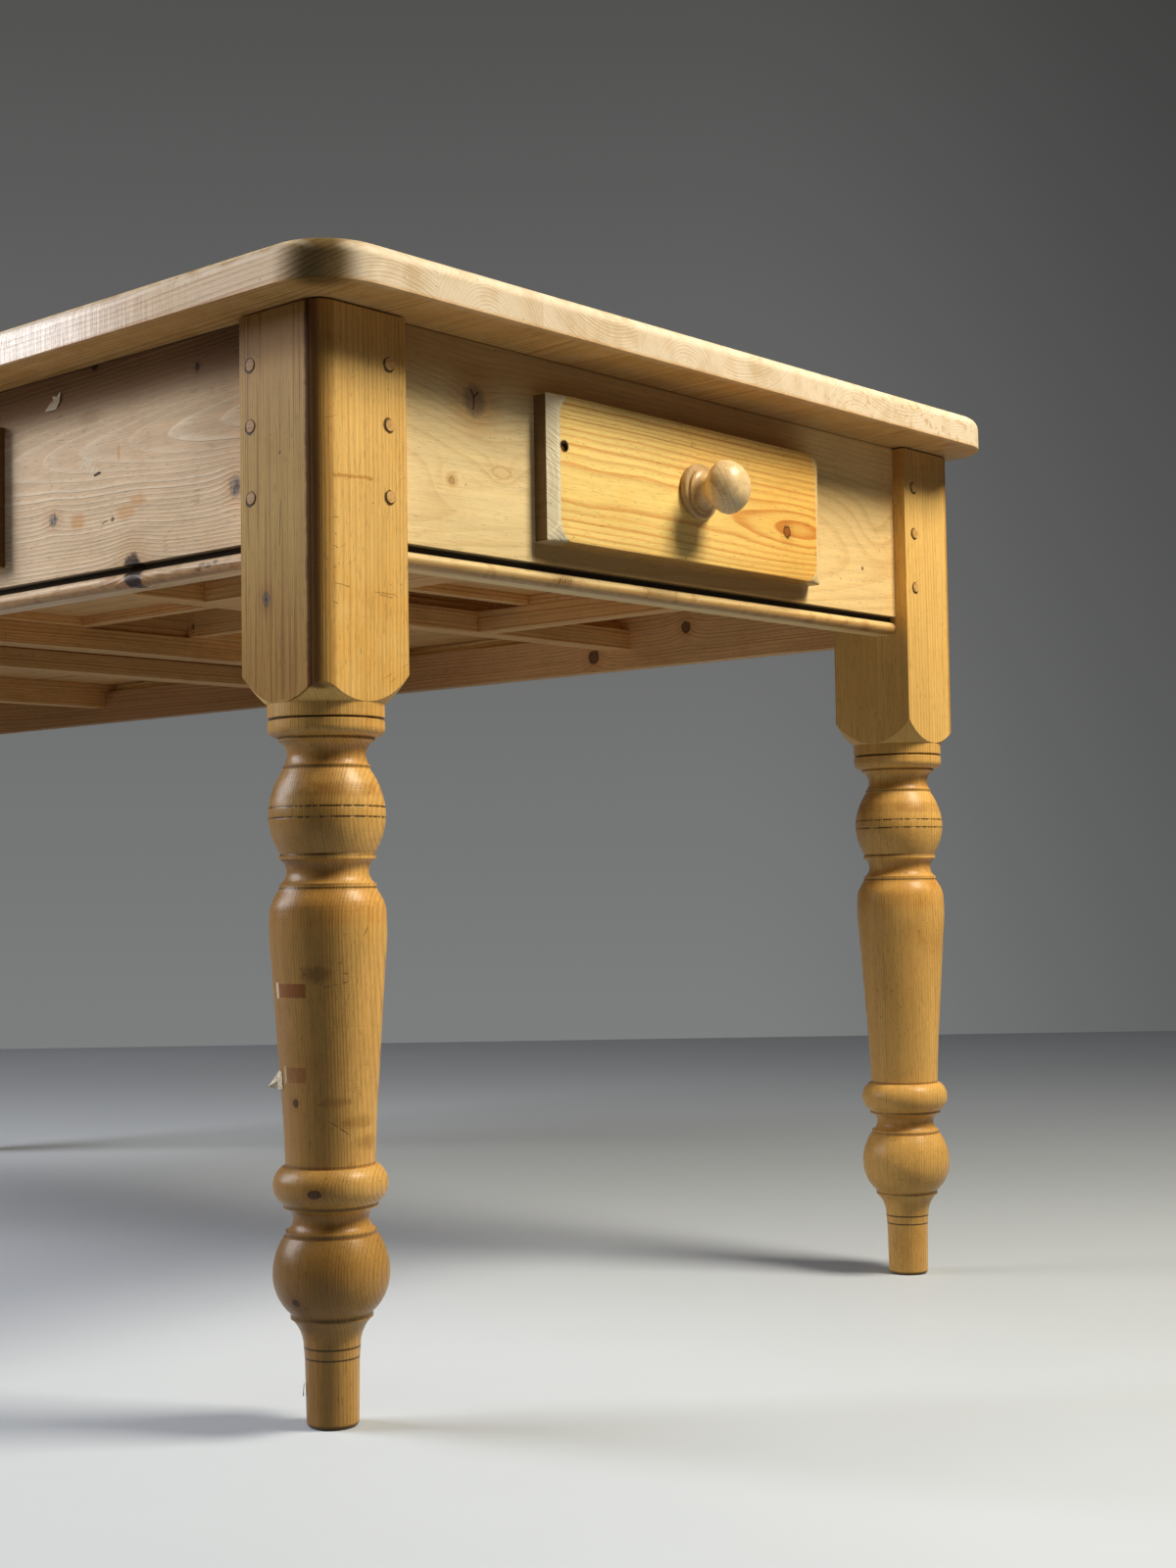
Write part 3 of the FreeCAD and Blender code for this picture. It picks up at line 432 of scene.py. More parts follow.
class Wood:
    """One piece's pine as a material: its place in the log, its knots, its marks, its finish."""

    def __init__(self, name, colours, centre, grain="X", pith=(0.0, -0.05), tilt=(0.0, 0.0),
                 seed=0.0, ring_width=None, bend=0.012, roughness=0.52, contrast=1.0, fibre=1.0,
                 relief=1.0, wax=0.0, gloss=0.3):
        self.material = bpy.data.materials.new(name)
        self.g = g = empty_graph(self.material)
        self.pine = bpy.context.scene.table_pine
        self.place = g.node("TexCoord").outputs["Object"]
        self.x, self.y, self.z = g.split(self.place)
        parts = g.split(g.vector("SUBTRACT", self.place, tuple(centre)))
        along = g.join(*[parts[index] for index in AXES[grain]])
        self.board = g.node("Mapping", {"Vector": along, "Location": (0.0, -pith[0], -pith[1]),
                                        "Rotation": (0.0, *tilt)}).outputs[0]
        self.knots = []
        self.early, self.late = (tuple(colour) for colour in colours)
        self.seed, self.ring_width = seed, ring_width or self.pine.ring_width
        self.bend, self.roughness, self.contrast = bend, roughness, contrast
        self.fibre, self.relief, self.wax, self.gloss = fibre, relief, wax, gloss

    def knot(self, centre, reach, lift=3.0, swell=2.2, lean=ORIGIN, heart=None, rim=None,
             stain=0.45):
        """Adds a knot at a place on the table, with its reach along X, Y and Z."""
        swell = tuple(swell * size for size in reach) if isinstance(swell, float) else swell
        sockets = self.g.group(effect("Knot", make_knot_effect), {
            "Position": self.place, "Centre": centre, "Reach": reach, "Lean": lean,
            "Swell": swell, "Lift": lift})
        heart, rim = heart or self.pine.knot_colour, rim or self.pine.rim_colour
        self.knots.append((sockets, tuple(heart), tuple(rim), stain))

    def grow(self):
        """Works out the grain with its knots: first colour, relief and roughness."""
        g = self.g
        lift = 0.0
        for knot, _, _, _ in self.knots:
            lift = g.plus(lift, knot["Lift"])
        grain = g.group(effect("Pine grain", make_grain_effect), {
            "Position": self.board, "Ring width": self.ring_width, "Bend": self.bend,
            "Lift": lift, "Seed": self.seed})
        self.rings = g.math("MULTIPLY", grain["Late"], self.contrast, clamp=True)
        colour = g.blend(self.rings, self.early, self.late)
        warm = g.span(grain["Tone"], 0.3, 0.7, 0.87, 1.1, "LINEAR")
        streak = g.span(grain["Streak"], 0.3, 0.7, 0.92, 1.06, "LINEAR")
        fibre = g.span(grain["Fibre"], 0.3, 0.7, 1.0 - 0.12 * self.fibre,
                       1.0 + 0.07 * self.fibre, "LINEAR")
        pores = g.span(grain["Pores"], 0.0, 1.0, 1.0, 1.0 - 0.22 * self.fibre, "LINEAR")
        shade = g.times(warm, streak, fibre, pores)
        blue = g.span(grain["Tone"], 0.3, 0.7, 0.88, 1.06, "LINEAR")
        green = g.span(blue, 0.88, 1.06, 0.97, 1.01)
        colour = g.tinted(colour, g.join(shade, g.times(shade, green), g.times(shade, blue)))
        for knot, heart, rim, stain in self.knots:
            tinted = g.tinted(colour, (0.78, 0.6, 0.44))
            colour = g.blend(g.times(knot["Stain"], stain), colour, tinted)
            colour = g.blend(g.times(knot["Heart"], 0.85), colour, heart)
            colour = g.blend(g.times(knot["Rim"], 0.75), colour, rim)
        self.colour = colour
        self.height = g.plus(g.times(self.rings, 0.6), g.times(grain["Fibre"], 0.5))
        self.rough = g.span(grain["Fibre"], 0.2, 0.8, self.roughness - 0.06,
                            self.roughness + 0.08, "LINEAR")
        return self

    # masks

    def spot(self, centre, reach, ragged=0.3, soft=0.3):
        """A ragged patch round a place."""
        return self.g.group(effect("Spot", make_spot_effect), {
            "Position": self.place, "Centre": centre, "Reach": reach, "Ragged": ragged,
            "Soft": soft})["Mask"]

    def stroke(self, start, end, width, ragged=0.4):
        """A scratch between two places."""
        return self.g.group(effect("Stroke", make_stroke_effect), {
            "Position": self.place, "Start": start, "End": end, "Width": width,
            "Ragged": ragged})["Mask"]

    def scuffs(self, seed):
        """Scratches, dirty patches and specks."""
        return self.g.group(effect("Scuffs", make_scuff_effect), {
            "Position": self.place, "Seed": seed})

    def past(self, value, start, full):
        """0 before a value, 1 past it."""
        return self.g.span(value, start, full)

    def line(self, value, centre, width):
        """A thin line where a coordinate has one value."""
        return self.g.span(self.g.gap(value, centre), 0.35 * width, width, 1.0, 0.0)

    def uneven(self, scale, low, high, detail=4.0):
        """Noise over the piece, stretched between two levels."""
        noise = self.g.noise(self.place, scale=scale, detail=detail, roughness=0.62)
        return self.g.span(noise, low, high)

    # marks

    def paint(self, mask, colour, strength=1.0):
        """Covers the wood with a colour."""
        self.colour = self.g.blend(self.g.times(mask, strength), self.colour, tuple(colour))

    def stain(self, mask, tint, strength=1.0):
        """Tints the wood and leaves its grain."""
        tinted = self.g.tinted(self.colour, tint)
        self.colour = self.g.blend(self.g.times(mask, strength), self.colour, tinted)

    def press(self, mask, depth):
        """Dents the relief, or raises it with a depth below 0."""
        self.height = self.g.minus(self.height, self.g.times(mask, depth))

    def polish(self, mask, change):
        """Makes the surface rougher, or smoother with a change below 0."""
        self.rough = self.g.plus(self.rough, self.g.times(mask, change))

    def finish(self):
        """Puts the shader together and gives the material."""
        g = self.g
        relief = self.pine.grain_relief * self.relief
        bump = g.node("Bump", {"Height": self.height, "Strength": 0.6, "Distance": relief})
        shader = g.node("BsdfPrincipled", {
            "Base Color": self.colour, "Roughness": self.rough, "Normal": bump.outputs[0],
            "Specular IOR Level": self.gloss, "Coat Weight": self.wax, "Coat Roughness": 0.26})
        g.node("OutputMaterial", {"Surface": shader.outputs[0]})
        return self.material


def dress(node, material, edge, segments=2):
    """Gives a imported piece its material, smooth shading and softened edges."""
    piece = NODES[node]
    piece.data.materials.clear()
    piece.data.materials.append(material)
    piece.data.polygons.foreach_set("use_smooth", [True] * len(piece.data.polygons))
    weld = piece.modifiers.new("Joined faces", "WELD")
    weld.merge_threshold = JOINED_WITHIN
    bevel = piece.modifiers.new("Softened edges", "BEVEL")
    bevel.width = edge
    bevel.segments = segments
    bevel.limit_method = "ANGLE"
    bevel.angle_limit = SHARP_ANGLE
    bevel.harden_normals = False
    bevel.miter_outer = "MITER_ARC"
    normals = piece.modifiers.new("Even shading", "WEIGHTED_NORMAL")
    normals.keep_sharp = True
    normals.weight = 100


def middle(node):
    """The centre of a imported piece's box."""
    low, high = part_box(node)
    return (low + high) / 2


# ---------------------------------------------------------------- the stage

class TABLE_OT_stage(bpy.types.Operator):
    """Set up the floor, the lamps and the camera"""
    bl_idname = "pine_table.stage"
    bl_label = "Stage"

    def execute(self, context):
        scene = context.scene
        stage = scene.table_stage
        scene.view_settings.view_transform = "Standard"
        self.add_floor(stage)
        self.add_world(scene, stage)
        self.add_lamp("Key lamp", *KEY_LAMP, stage.key_power, stage.key_colour)
        self.add_lamp("Fill lamp", *FILL_LAMP, stage.fill_power, stage.fill_colour)
        self.add_camera(scene, stage)
        return {"FINISHED"}

    def add_floor(self, stage):
        """A pale floor under the table, its far edge square to the camera's view."""
        mesh = bpy.data.meshes.new("floor")
        shape = bmesh.new()
        bmesh.ops.create_grid(shape, x_segments=8, y_segments=8, size=1.0)
        reach, back = stage.floor_reach, stage.floor_back
        bmesh.ops.scale(shape, vec=(reach, (reach + back) / 2, 1.0), verts=shape.verts)
        bmesh.ops.translate(shape, vec=(0.0, (back - reach) / 2, 0.0), verts=shape.verts)
        bmesh.ops.rotate(shape, matrix=Matrix.Rotation(stage.camera_azimuth, 3, "Z"),
                         verts=shape.verts)
        shape.to_mesh(mesh)
        shape.free()
        floor = bpy.data.objects.new("floor", mesh)
        bpy.context.scene.collection.objects.link(floor)
        material = bpy.data.materials.new("Painted floor")
        g = empty_graph(material)
        place = g.node("TexCoord").outputs["Object"]
        cloud = g.noise(place, scale=2.2, detail=5.0)
        away = g.vector("DISTANCE", place, (0.95, -0.45, 0.0))
        # Painted pool of light: pale near the table, dimmer far from it.
        colour = g.blend(g.span(g.plus(away, g.times(cloud, 0.5)), 0.7, 3.3),
                         tuple(stage.floor_colour), tuple(stage.floor_dim_far_colour))
        shade = g.span(cloud, 0.3, 0.7, 0.94, 1.0, "LINEAR")
        colour = g.tinted(colour, g.join(shade, shade, shade))
        colour = g.blend(g.seen(), tuple(FLOOR_LIGHT * value for value in stage.floor_colour),
                         colour)
        shader = g.node("BsdfPrincipled", {"Base Color": colour, "Roughness": 0.6})
        g.node("OutputMaterial", {"Surface": shader.outputs[0]})
        floor.data.materials.append(material)

    def add_world(self, scene, stage):
        """Even light all round, and the backdrop's colour where the camera or a gloss sees it."""
        world = bpy.data.worlds.new("Studio")
        g = empty_graph(world)
        toward = g.node("TexCoord").outputs["Generated"]
        azimuth = stage.camera_azimuth
        sideways = g.vector("DOT_PRODUCT", toward, (math.cos(azimuth), math.sin(azimuth), 0))
        # Painted shade on the backdrop: darker high up and towards the camera's right.
        backdrop_colour = g.blend(g.span(g.split(toward)[2], -0.08, 0.4, 0.0, 1.0, "LINEAR"),
                                  tuple(stage.backdrop_low_colour),
                                  tuple(stage.backdrop_high_colour))
        shade = g.span(sideways, 0.05, 0.32, 1.1, 0.6)
        backdrop_colour = g.tinted(backdrop_colour, g.join(shade, shade, shade))
        light = g.node("Background", {"Color": (0.96, 0.98, 1.0), "Strength": stage.room_light})
        backdrop = g.node("Background", {"Color": backdrop_colour, "Strength": 1.0})
        mixed = g.node("MixShader", {"Fac": g.seen(), 1: light.outputs[0], 2: backdrop.outputs[0]})
        g.node("OutputWorld", {"Surface": mixed.outputs[0]})
        scene.world = world

    def add_lamp(self, name, place, target, size, power, colour):
        """One square soft box aimed at the table, unseen by the camera."""
        data = bpy.data.lights.new(name, "AREA")
        data.shape = "SQUARE"
        data.size = size
        data.energy = power
        data.color = colour
        lamp = bpy.data.objects.new(name, data)
        lamp.location = place
        lamp.rotation_euler = (Vector(target) - Vector(place)).to_track_quat("-Z", "Y").to_euler()
        lamp.visible_camera = False
        bpy.context.scene.collection.objects.link(lamp)

    def add_camera(self, scene, stage):
        """A low camera off one corner of the table."""
        azimuth, elevation, roll = stage.camera_azimuth, stage.camera_elevation, stage.camera_roll
        back = Vector((math.sin(azimuth) * math.cos(elevation),
                       -math.cos(azimuth) * math.cos(elevation), math.sin(elevation)))
        level = Vector((0, 0, 1)).cross(back).normalized()
        upright = back.cross(level)
        right = math.cos(roll) * level + math.sin(roll) * upright
        up = math.cos(roll) * upright - math.sin(roll) * level
        data = bpy.data.cameras.new("Camera")
        data.lens = stage.lens
        data.sensor_width = 36
        camera = bpy.data.objects.new("Camera", data)
        turn = Matrix((right, up, back)).transposed().to_4x4()
        camera.matrix_world = Matrix.Translation(stage.camera_place) @ turn
        scene.collection.objects.link(camera)
        scene.camera = camera


# ---------------------------------------------------------------- the top

class TABLE_OT_top(bpy.types.Operator):
    """Finish the planks of the top"""
    bl_idname = "pine_table.top"
    bl_label = "Plank top"

    def execute(self, context):
        wear = context.scene.table_wear
        piths = [(0.02, -0.09), (-0.01, -0.03), (0.03, 0.06), (0.0, -0.035),
                 (-0.03, 0.07), (0.02, -0.05), (0.0, 0.08), (-0.02, -0.07)]
        planks = sorted(name for name in NODES if name.startswith("top_board_"))
        for index, (node, pith) in enumerate(zip(planks, piths)):
            wood = Wood(f"Plank {index + 1}", tones("top"), middle(node), pith=pith,
                        tilt=(0.012, 0.008 * (-1) ** index), seed=3.1 + 1.7 * index, bend=0.02,
                        roughness=0.5, ring_width=0.0028).grow()
            self.age(wood, 5.0 + index)
            dress(node, wood.finish(), wear.top_edge)
        return {"FINISHED"}

    def age(self, wood, seed):
        """Bleached sawn edges with painted sheen, worn upper edge, waxed underside, painted shade
        at a corner.
        """
        g, pine = wood.g, wood.pine
        _, patches, specks = wood.scuffs(seed)
        near_edge = wood.past(wood.y, TOP_EDGE_NEAR + 0.0045, TOP_EDGE_NEAR + 0.0015)
        ends = wood.past(g.math("ABSOLUTE", wood.x), TOP_END - 0.01, TOP_END - 0.002)
        under = wood.past(wood.z, TOP_UNDER + 0.0025, TOP_UNDER + 0.0005)
        saw = g.noise(wood.place, (760.0, 40.0, 30.0), detail=1.0)
        saw_marks = g.times(near_edge, wood.past(wood.x, 0.78, 0.6), g.span(saw, 0.45, 0.6))
        wood.stain(near_edge, (1.04, 1.02, 1.26))
        # Painted sheen: pale paint towards the left of the near edge, where it catches the fill
        # lamp's gloss.
        wood.paint(g.times(near_edge, wood.past(wood.x, 0.7, 0.45)), shown(255, 240, 230), 0.9)
        wood.stain(saw_marks, (0.78, 0.71, 0.69), 0.85)
        wood.press(saw_marks, 0.8)
        wood.paint(ends, shown(234, 220, 200), 0.72)
        wood.stain(g.times(ends, patches), (0.8, 0.73, 0.6), 0.75)
        wood.stain(g.times(ends, wood.uneven(55.0, 0.44, 0.62, 6.0)), (0.9, 0.84, 0.74), 0.7)
        rough_end = g.times(ends, wood.past(wood.y, 0.02, 0.25))
        wood.stain(g.times(rough_end, wood.uneven(150.0, 0.52, 0.66)), (0.72, 0.6, 0.42), 0.85)
        wood.paint(g.times(specks, 0.8), pine.grime_colour, 0.6)
        wood.stain(g.times(under, wood.uneven(30.0, 0.4, 0.65)), (0.86, 0.78, 0.64), 0.7)
        wood.stain(under, (0.96, 0.82, 0.64))
        # Painted shade: the dark band on the top's rounded corner, which neither lamp lights.
        corner = wood.spot((0.836, -0.405, 0.742), (0.02, 0.02, 0.034), 0.0, 0.5)
        wood.stain(corner, (0.24, 0.21, 0.14), 0.95)
        sheen = g.times(near_edge, wood.past(wood.x, 0.72, 0.5))
        wood.gloss = g.span(sheen, 0.0, 1.0, 0.3, 1.0)
        wood.polish(sheen, -0.1)
        over = g.times(wood.past(wood.z, TOP_ROUND, TOP_ROUND + 0.008),
                       wood.uneven(70.0, 0.36, 0.6))
        rim = g.math("MAXIMUM", wood.past(wood.y, TOP_EDGE_NEAR + 0.012, TOP_EDGE_NEAR + 0.004),
                     wood.past(g.math("ABSOLUTE", wood.x), TOP_END - 0.012, TOP_END - 0.004))
        wood.paint(g.times(over, rim), pine.raw_colour, 0.6)


# ---------------------------------------------------------------- the legs

# Heights of the dark lines in the turning: height, width, strength.
SCRIBED = ((0.461, 0.0011, 1.0), (0.4483, 0.001, 0.6), (0.4295, 0.0011, 0.6),
           (0.3718, 0.0011, 0.7), (0.3502, 0.001, 0.7), (0.1698, 0.0013, 0.5),
           (0.1432, 0.0012, 0.6), (0.1252, 0.0013, 0.5), (0.0718, 0.0014, 0.6),
           (0.0515, 0.0009, 1.0), (0.0446, 0.0008, 1.0), (0.0012, 0.0022, 0.7))
DOTTED = (0.403, 0.396)
# Heights and widths of the coves, darkened with old wax and painted shade.
HOLLOWS = ((0.4375, 0.006), (0.361, 0.006), (0.1348, 0.006), (0.414, 0.004))


class TABLE_OT_legs(bpy.types.Operator):
    """Finish the turned legs"""
    bl_idname = "pine_table.legs"
    bl_label = "Legs"

    # node: sign of X, sign of Y, tint of the turning, strength of the painted shade on its left
    # side and of its darker lower ball and foot
    LEGS = {"leg_near_right": (1, -1, (0.98, 0.92, 0.86), 0.95),
            "leg_near_left": (-1, -1, (0.8, 0.74, 0.66), 0.4),
            "leg_far_right": (1, 1, (0.98, 0.92, 0.84), 0.12),
            "leg_far_left": (-1, 1, (0.8, 0.74, 0.66), 0.4)}

    def execute(self, context):
        wear = context.scene.table_wear
        for index, (node, (side_x, side_y, tint, brown)) in enumerate(self.LEGS.items()):
            centre = (side_x * LEG_X, side_y * LEG_Y, 0.366)
            wood = Wood(f"Leg {index + 1}", tones("leg"), centre, grain="Z", pith=(-0.085, -0.075),
                        tilt=(0.012, 0.008), seed=11.0 + index, ring_width=0.002, bend=0.007,
                        roughness=0.44, contrast=0.68, fibre=1.1, wax=0.12, gloss=0.2)
            if node == "leg_near_right":
                self.grow_near_right(wood)
            elif node == "leg_far_right":
                wood.knot((0.806, 0.342, 0.348), (0.004, 0.004, 0.0035), lift=2.0)
            wood.grow()
            self.age(wood, side_x, side_y, tint, brown, 21.0 + index)
            if node == "leg_near_right":
                self.mark_near_right(wood)
            dress(node, wood.finish(), wear.leg_edge)
        return {"FINISHED"}

    def grow_near_right(self, wood):
        """Knots of the leg nearest the drawer."""
        blue = wood.pine.blue_colour
        wood.knot((0.7538, -(LEG_Y + BLOCK), 0.5395), (0.0034, 0.004, 0.0048), lift=1.2,
                  heart=blue, rim=shown(150, 130, 108), stain=0.5)
        wood.knot((0.7695, -0.374, 0.2113), (0.0022, 0.004, 0.0024), lift=1.5)
        wood.knot((0.7867, -0.3736, 0.1543), (0.004, 0.004, 0.0026), lift=2.5)
        wood.knot((0.772, -0.3773, 0.0844), (0.0026, 0.004, 0.0022), lift=2.0)

    def age(self, wood, side_x, side_y, tint, brown, seed):
        """Darker turning, painted shade on its left, under the top and on the block's corner,
        dirty lines, old wax and painted shade in the hollows.
        """
        g, pine = wood.g, wood.pine
        scratches, patches, specks = wood.scuffs(seed)
        turned = wood.past(wood.z, SHOULDER + 0.001, SHOULDER - 0.002)
        wood.stain(turned, tint)
        away_x = g.minus(wood.x, side_x * LEG_X)
        away_y = g.minus(wood.y, side_y * LEG_Y)
        leftward = g.vector("DOT_PRODUCT", g.vector("NORMALIZE", g.join(away_x, away_y)),
                            (-0.751, -0.66, 0.0))
        # Painted shade: the turning darker on its left and middle, away from the key lamp, less on
        # the collar.
        wood.stain(g.times(turned, g.span(leftward, -0.8, 0.05)), (0.54, 0.5, 0.44),
                   g.span(wood.z, 0.425, 0.445, brown, 0.45 * brown))
        wood.stain(g.times(turned, g.span(leftward, 0.2, 0.9)), (0.68, 0.66, 0.64), brown)
        # Darker towards the bottom: the lower ball and the foot.
        low_ball = g.times(wood.past(wood.z, 0.14, 0.12), wood.past(wood.z, 0.055, 0.075))
        wood.stain(low_ball, (0.62, 0.58, 0.52), brown)
        wood.stain(wood.past(wood.z, 0.075, 0.055), (0.8, 0.77, 0.72), brown)
        wood.polish(turned, -0.08)
        outward_x, outward_y = g.times(away_x, side_x), g.times(away_y, side_y)
        block = wood.past(wood.z, SHOULDER - 0.002, SHOULDER + 0.001)
        long_side = g.times(block, wood.past(outward_y, BLOCK - 0.0015, BLOCK - 0.0004))
        if side_y < 0:
            # The near legs' long side: darker wood, with a cool cast painted in for the cool light
            # on that side.
            low = g.blend(g.span(wood.z, 0.49, 0.6), (0.45, 0.4, 0.33), (0.56, 0.56, 0.55))
            wood.stain(long_side, g.blend(g.span(wood.z, 0.62, 0.7), low, (0.58, 0.56, 0.66)))
            wood.gloss = g.span(long_side, 0.0, 1.0, wood.gloss, 0.07)
            wood.wax = g.span(long_side, 0.0, 1.0, wood.wax, 0.0)
        # Painted shadow of the top's overhang on the block's upper end.
        shaded = g.times(block, wood.past(wood.z, 0.686, 0.708))
        wood.stain(shaded, (0.55, 0.44, 0.34), 0.7)
        grooves = g.noise(wood.place, (420.0, 420.0, 9.0), detail=1.0)
        wood.stain(g.times(long_side, g.span(grooves, 0.54, 0.68)), (0.66, 0.58, 0.46), 0.8)
        # Painted shade on the block's rounded corner, where neither lamp reaches, darkest on its
        # left part; its reach wavers a little.
        outward = g.plus(outward_x, outward_y)
        arris_shade_reach = g.plus(outward, g.times(wood.uneven(70.0, 0.3, 0.7), 0.0012))
        arris = g.times(block, wood.past(arris_shade_reach, 2 * BLOCK - 0.014, 2 * BLOCK - 0.011))
        wood.stain(arris, (0.66, 0.58, 0.46), 0.9)
        wood.stain(g.times(arris, wood.past(outward_x, BLOCK - 0.002, BLOCK - 0.0065)),
                   (0.28, 0.2, 0.14), 0.95)
        # uneven wax and dirt
        wood.stain(g.times(patches, turned), (0.84, 0.76, 0.66), 0.8)
        wood.stain(g.times(patches, block), (0.95, 0.9, 0.8), 0.8)
        wood.paint(specks, pine.grime_colour, 0.45)
        wood.stain(scratches, (0.72, 0.62, 0.52), 0.7)
        wax = g.times(wood.past(wood.z, 0.322, 0.33), wood.past(wood.z, 0.353, 0.349),
                      wood.uneven(60.0, 0.3, 0.56))
        wood.stain(wax, (0.95, 0.83, 0.66), 0.7)
        # the turning's own lines
        unsteady = wood.uneven(120.0, 0.15, 0.5)
        dirt = None
        for height, width, strength in SCRIBED:
            mark = g.times(wood.line(wood.z, height, width), strength)
            dirt = mark if dirt is None else g.math("MAXIMUM", dirt, mark)
        wood.paint(g.times(dirt, g.span(unsteady, 0.0, 1.0, 0.55, 1.0)), pine.grime_colour, 0.9)
        dots = g.span(g.noise(wood.place, (420.0, 420.0, 60.0), detail=0.0), 0.42, 0.52)
        for height in DOTTED:
            mark = wood.line(wood.z, height, 0.0009)
            wood.paint(g.times(mark, g.span(dots, 0.0, 1.0, 0.35, 1.0)), pine.grime_colour, 0.9)
            wood.press(mark, 1.2)
        # Old wax in the coves, deepened as painted shade.
        for height, width in HOLLOWS:
            wood.stain(g.times(wood.line(wood.z, height, width * 1.6),
                               wood.uneven(45.0, 0.25, 0.6)), (0.66, 0.56, 0.46), 0.7)
        turning = g.noise(wood.place, (8.0, 8.0, 1300.0), detail=1.0)
        wood.press(g.times(turned, turning), 0.5)
        # dark line round each peg
        for height in PEG_HEIGHTS:
            on_end = (side_x * (LEG_X + BLOCK), side_y * PEG_END_Y - 0.0008, height - 0.0006)
            on_long = (side_x * PEG_LONG_X - 0.0008, side_y * (LEG_Y + BLOCK), height - 0.0005)
            for centre in (on_end, on_long):
                wood.paint(wood.spot(centre, PEG_LINE, 0.25, 0.1), pine.grime_colour, 0.9)

    def mark_near_right(self, wood):
        """Knocks, scratches, old tape and worn wax of the leg nearest the drawer."""
        g, pine = wood.g, wood.pine
        grime = pine.grime_colour
        face, side = LEG_X + BLOCK, -(LEG_Y + BLOCK)
        # block, end side
        wood.stain(wood.stroke((face, -0.3684, 0.6165), (face, -0.335, 0.618), 0.0016, 0.6),
                   (0.74, 0.62, 0.46))
        for start, end in (((-0.3685, 0.5462), (-0.356, 0.5448)),
                           ((-0.333, 0.5436), (-0.315, 0.5428)),
                           ((-0.329, 0.542), (-0.318, 0.5408))):
            wood.paint(wood.stroke((face, *start), (face, *end), 0.0006, 0.8), shown(*PEN_BROWN),
                       0.5)
        for height, reach, drop in ((0.601, 0.003, 0.0012), (0.5885, 0.0052, -0.0008),
                                    (0.5792, 0.0026, 0.0016), (0.57, 0.004, 0.0006),
                                    (0.556, 0.0022, -0.0012), (0.534, 0.0034, 0.001)):
            wood.paint(wood.stroke((face, -0.37, height), (face, -0.37 + reach, height - drop),
                                   0.0006, 1.2), shown(*PEN_BROWN), 0.6)
        lower = g.times(wood.past(wood.x, face - 0.001, face), wood.past(wood.z, 0.585, 0.53),
                        wood.uneven(38.0, 0.35, 0.62))
        wood.stain(lower, (0.96, 0.88, 0.72), 0.9)
        # block, long side
        wood.paint(wood.spot((0.7538, side, 0.5395), (0.0011, 0.004, 0.0014), 0.3, 0.4),
                   pine.rim_colour)
        wood.paint(wood.spot((0.7685, side, 0.6345), (0.0012, 0.004, 0.0012), 0.3, 0.3), grime,
                   0.7)
        wood.paint(wood.stroke((0.7693, side, 0.603), (0.7674, side, 0.574), 0.0006, 0.7), grime,
                   0.6)
        # vase
        wood.stain(wood.spot((0.789, -0.3725, 0.2945), (0.011, 0.008, 0.005), 0.5, 0.5),
                   (0.55, 0.5, 0.46), 0.85)
        for start, end in (((0.78, -0.3775, 0.2985), (0.8, -0.361, 0.302)),
                           ((0.782, -0.3765, 0.2945), (0.803, -0.356, 0.295)),
                           ((0.7927, -0.3689, 0.2862), (0.8015, -0.3563, 0.2895)),
                           ((0.8065, -0.343, 0.324), (0.801, -0.356, 0.302)),
                           ((0.7854, -0.3683, 0.2105), (0.7954, -0.3548, 0.215)),
                           ((0.79, -0.364, 0.2), (0.799, -0.348, 0.188))):
            wood.paint(wood.stroke(start, end, 0.0007, 0.8), grime, 0.5)
        for centre, reach in (((0.796, -0.345, 0.1985), (0.01, 0.014, 0.004)),
                              ((0.794, -0.36, 0.212), (0.01, 0.01, 0.003)),
                              ((0.799, -0.335, 0.185), (0.008, 0.012, 0.005))):
            wood.stain(wood.spot(centre, reach, 0.7, 0.6), (0.62, 0.54, 0.44), 0.7)
        # strip of old tape and a second, thinner trace of it: heights and angles from, to
        angle = g.math("ARCTAN2", g.minus(wood.y, -LEG_Y), g.minus(wood.x, LEG_X))
        degree = math.radians(1)
        for low, high, first, last, strength in ((0.2795, 0.2885, -104, -66, 0.85),
                                                 (0.2245, 0.2345, -99, -70, 0.35)):
            patch = g.times(g.span(wood.z, low - 0.0003, low + 0.0003),
                            g.span(wood.z, high + 0.0003, high - 0.0003),
                            g.span(angle, (first - 0.7) * degree, (first + 0.7) * degree),
                            g.span(angle, (last + 1.0) * degree, (last - 1.0) * degree))
            outline = g.times(wood.line(angle, (first - 3.5) * degree, 0.055),
                              g.span(wood.z, low - 0.0012, low),
                              g.span(wood.z, high + 0.0012, high))
            wood.paint(outline, pine.raw_colour, 0.8 * strength)
            wood.paint(patch, pine.tape_colour, strength)
            wood.stain(patch, (0.8, 0.72, 0.62))
            wood.polish(patch, -0.1)


# ---------------------------------------------------------------- the aprons

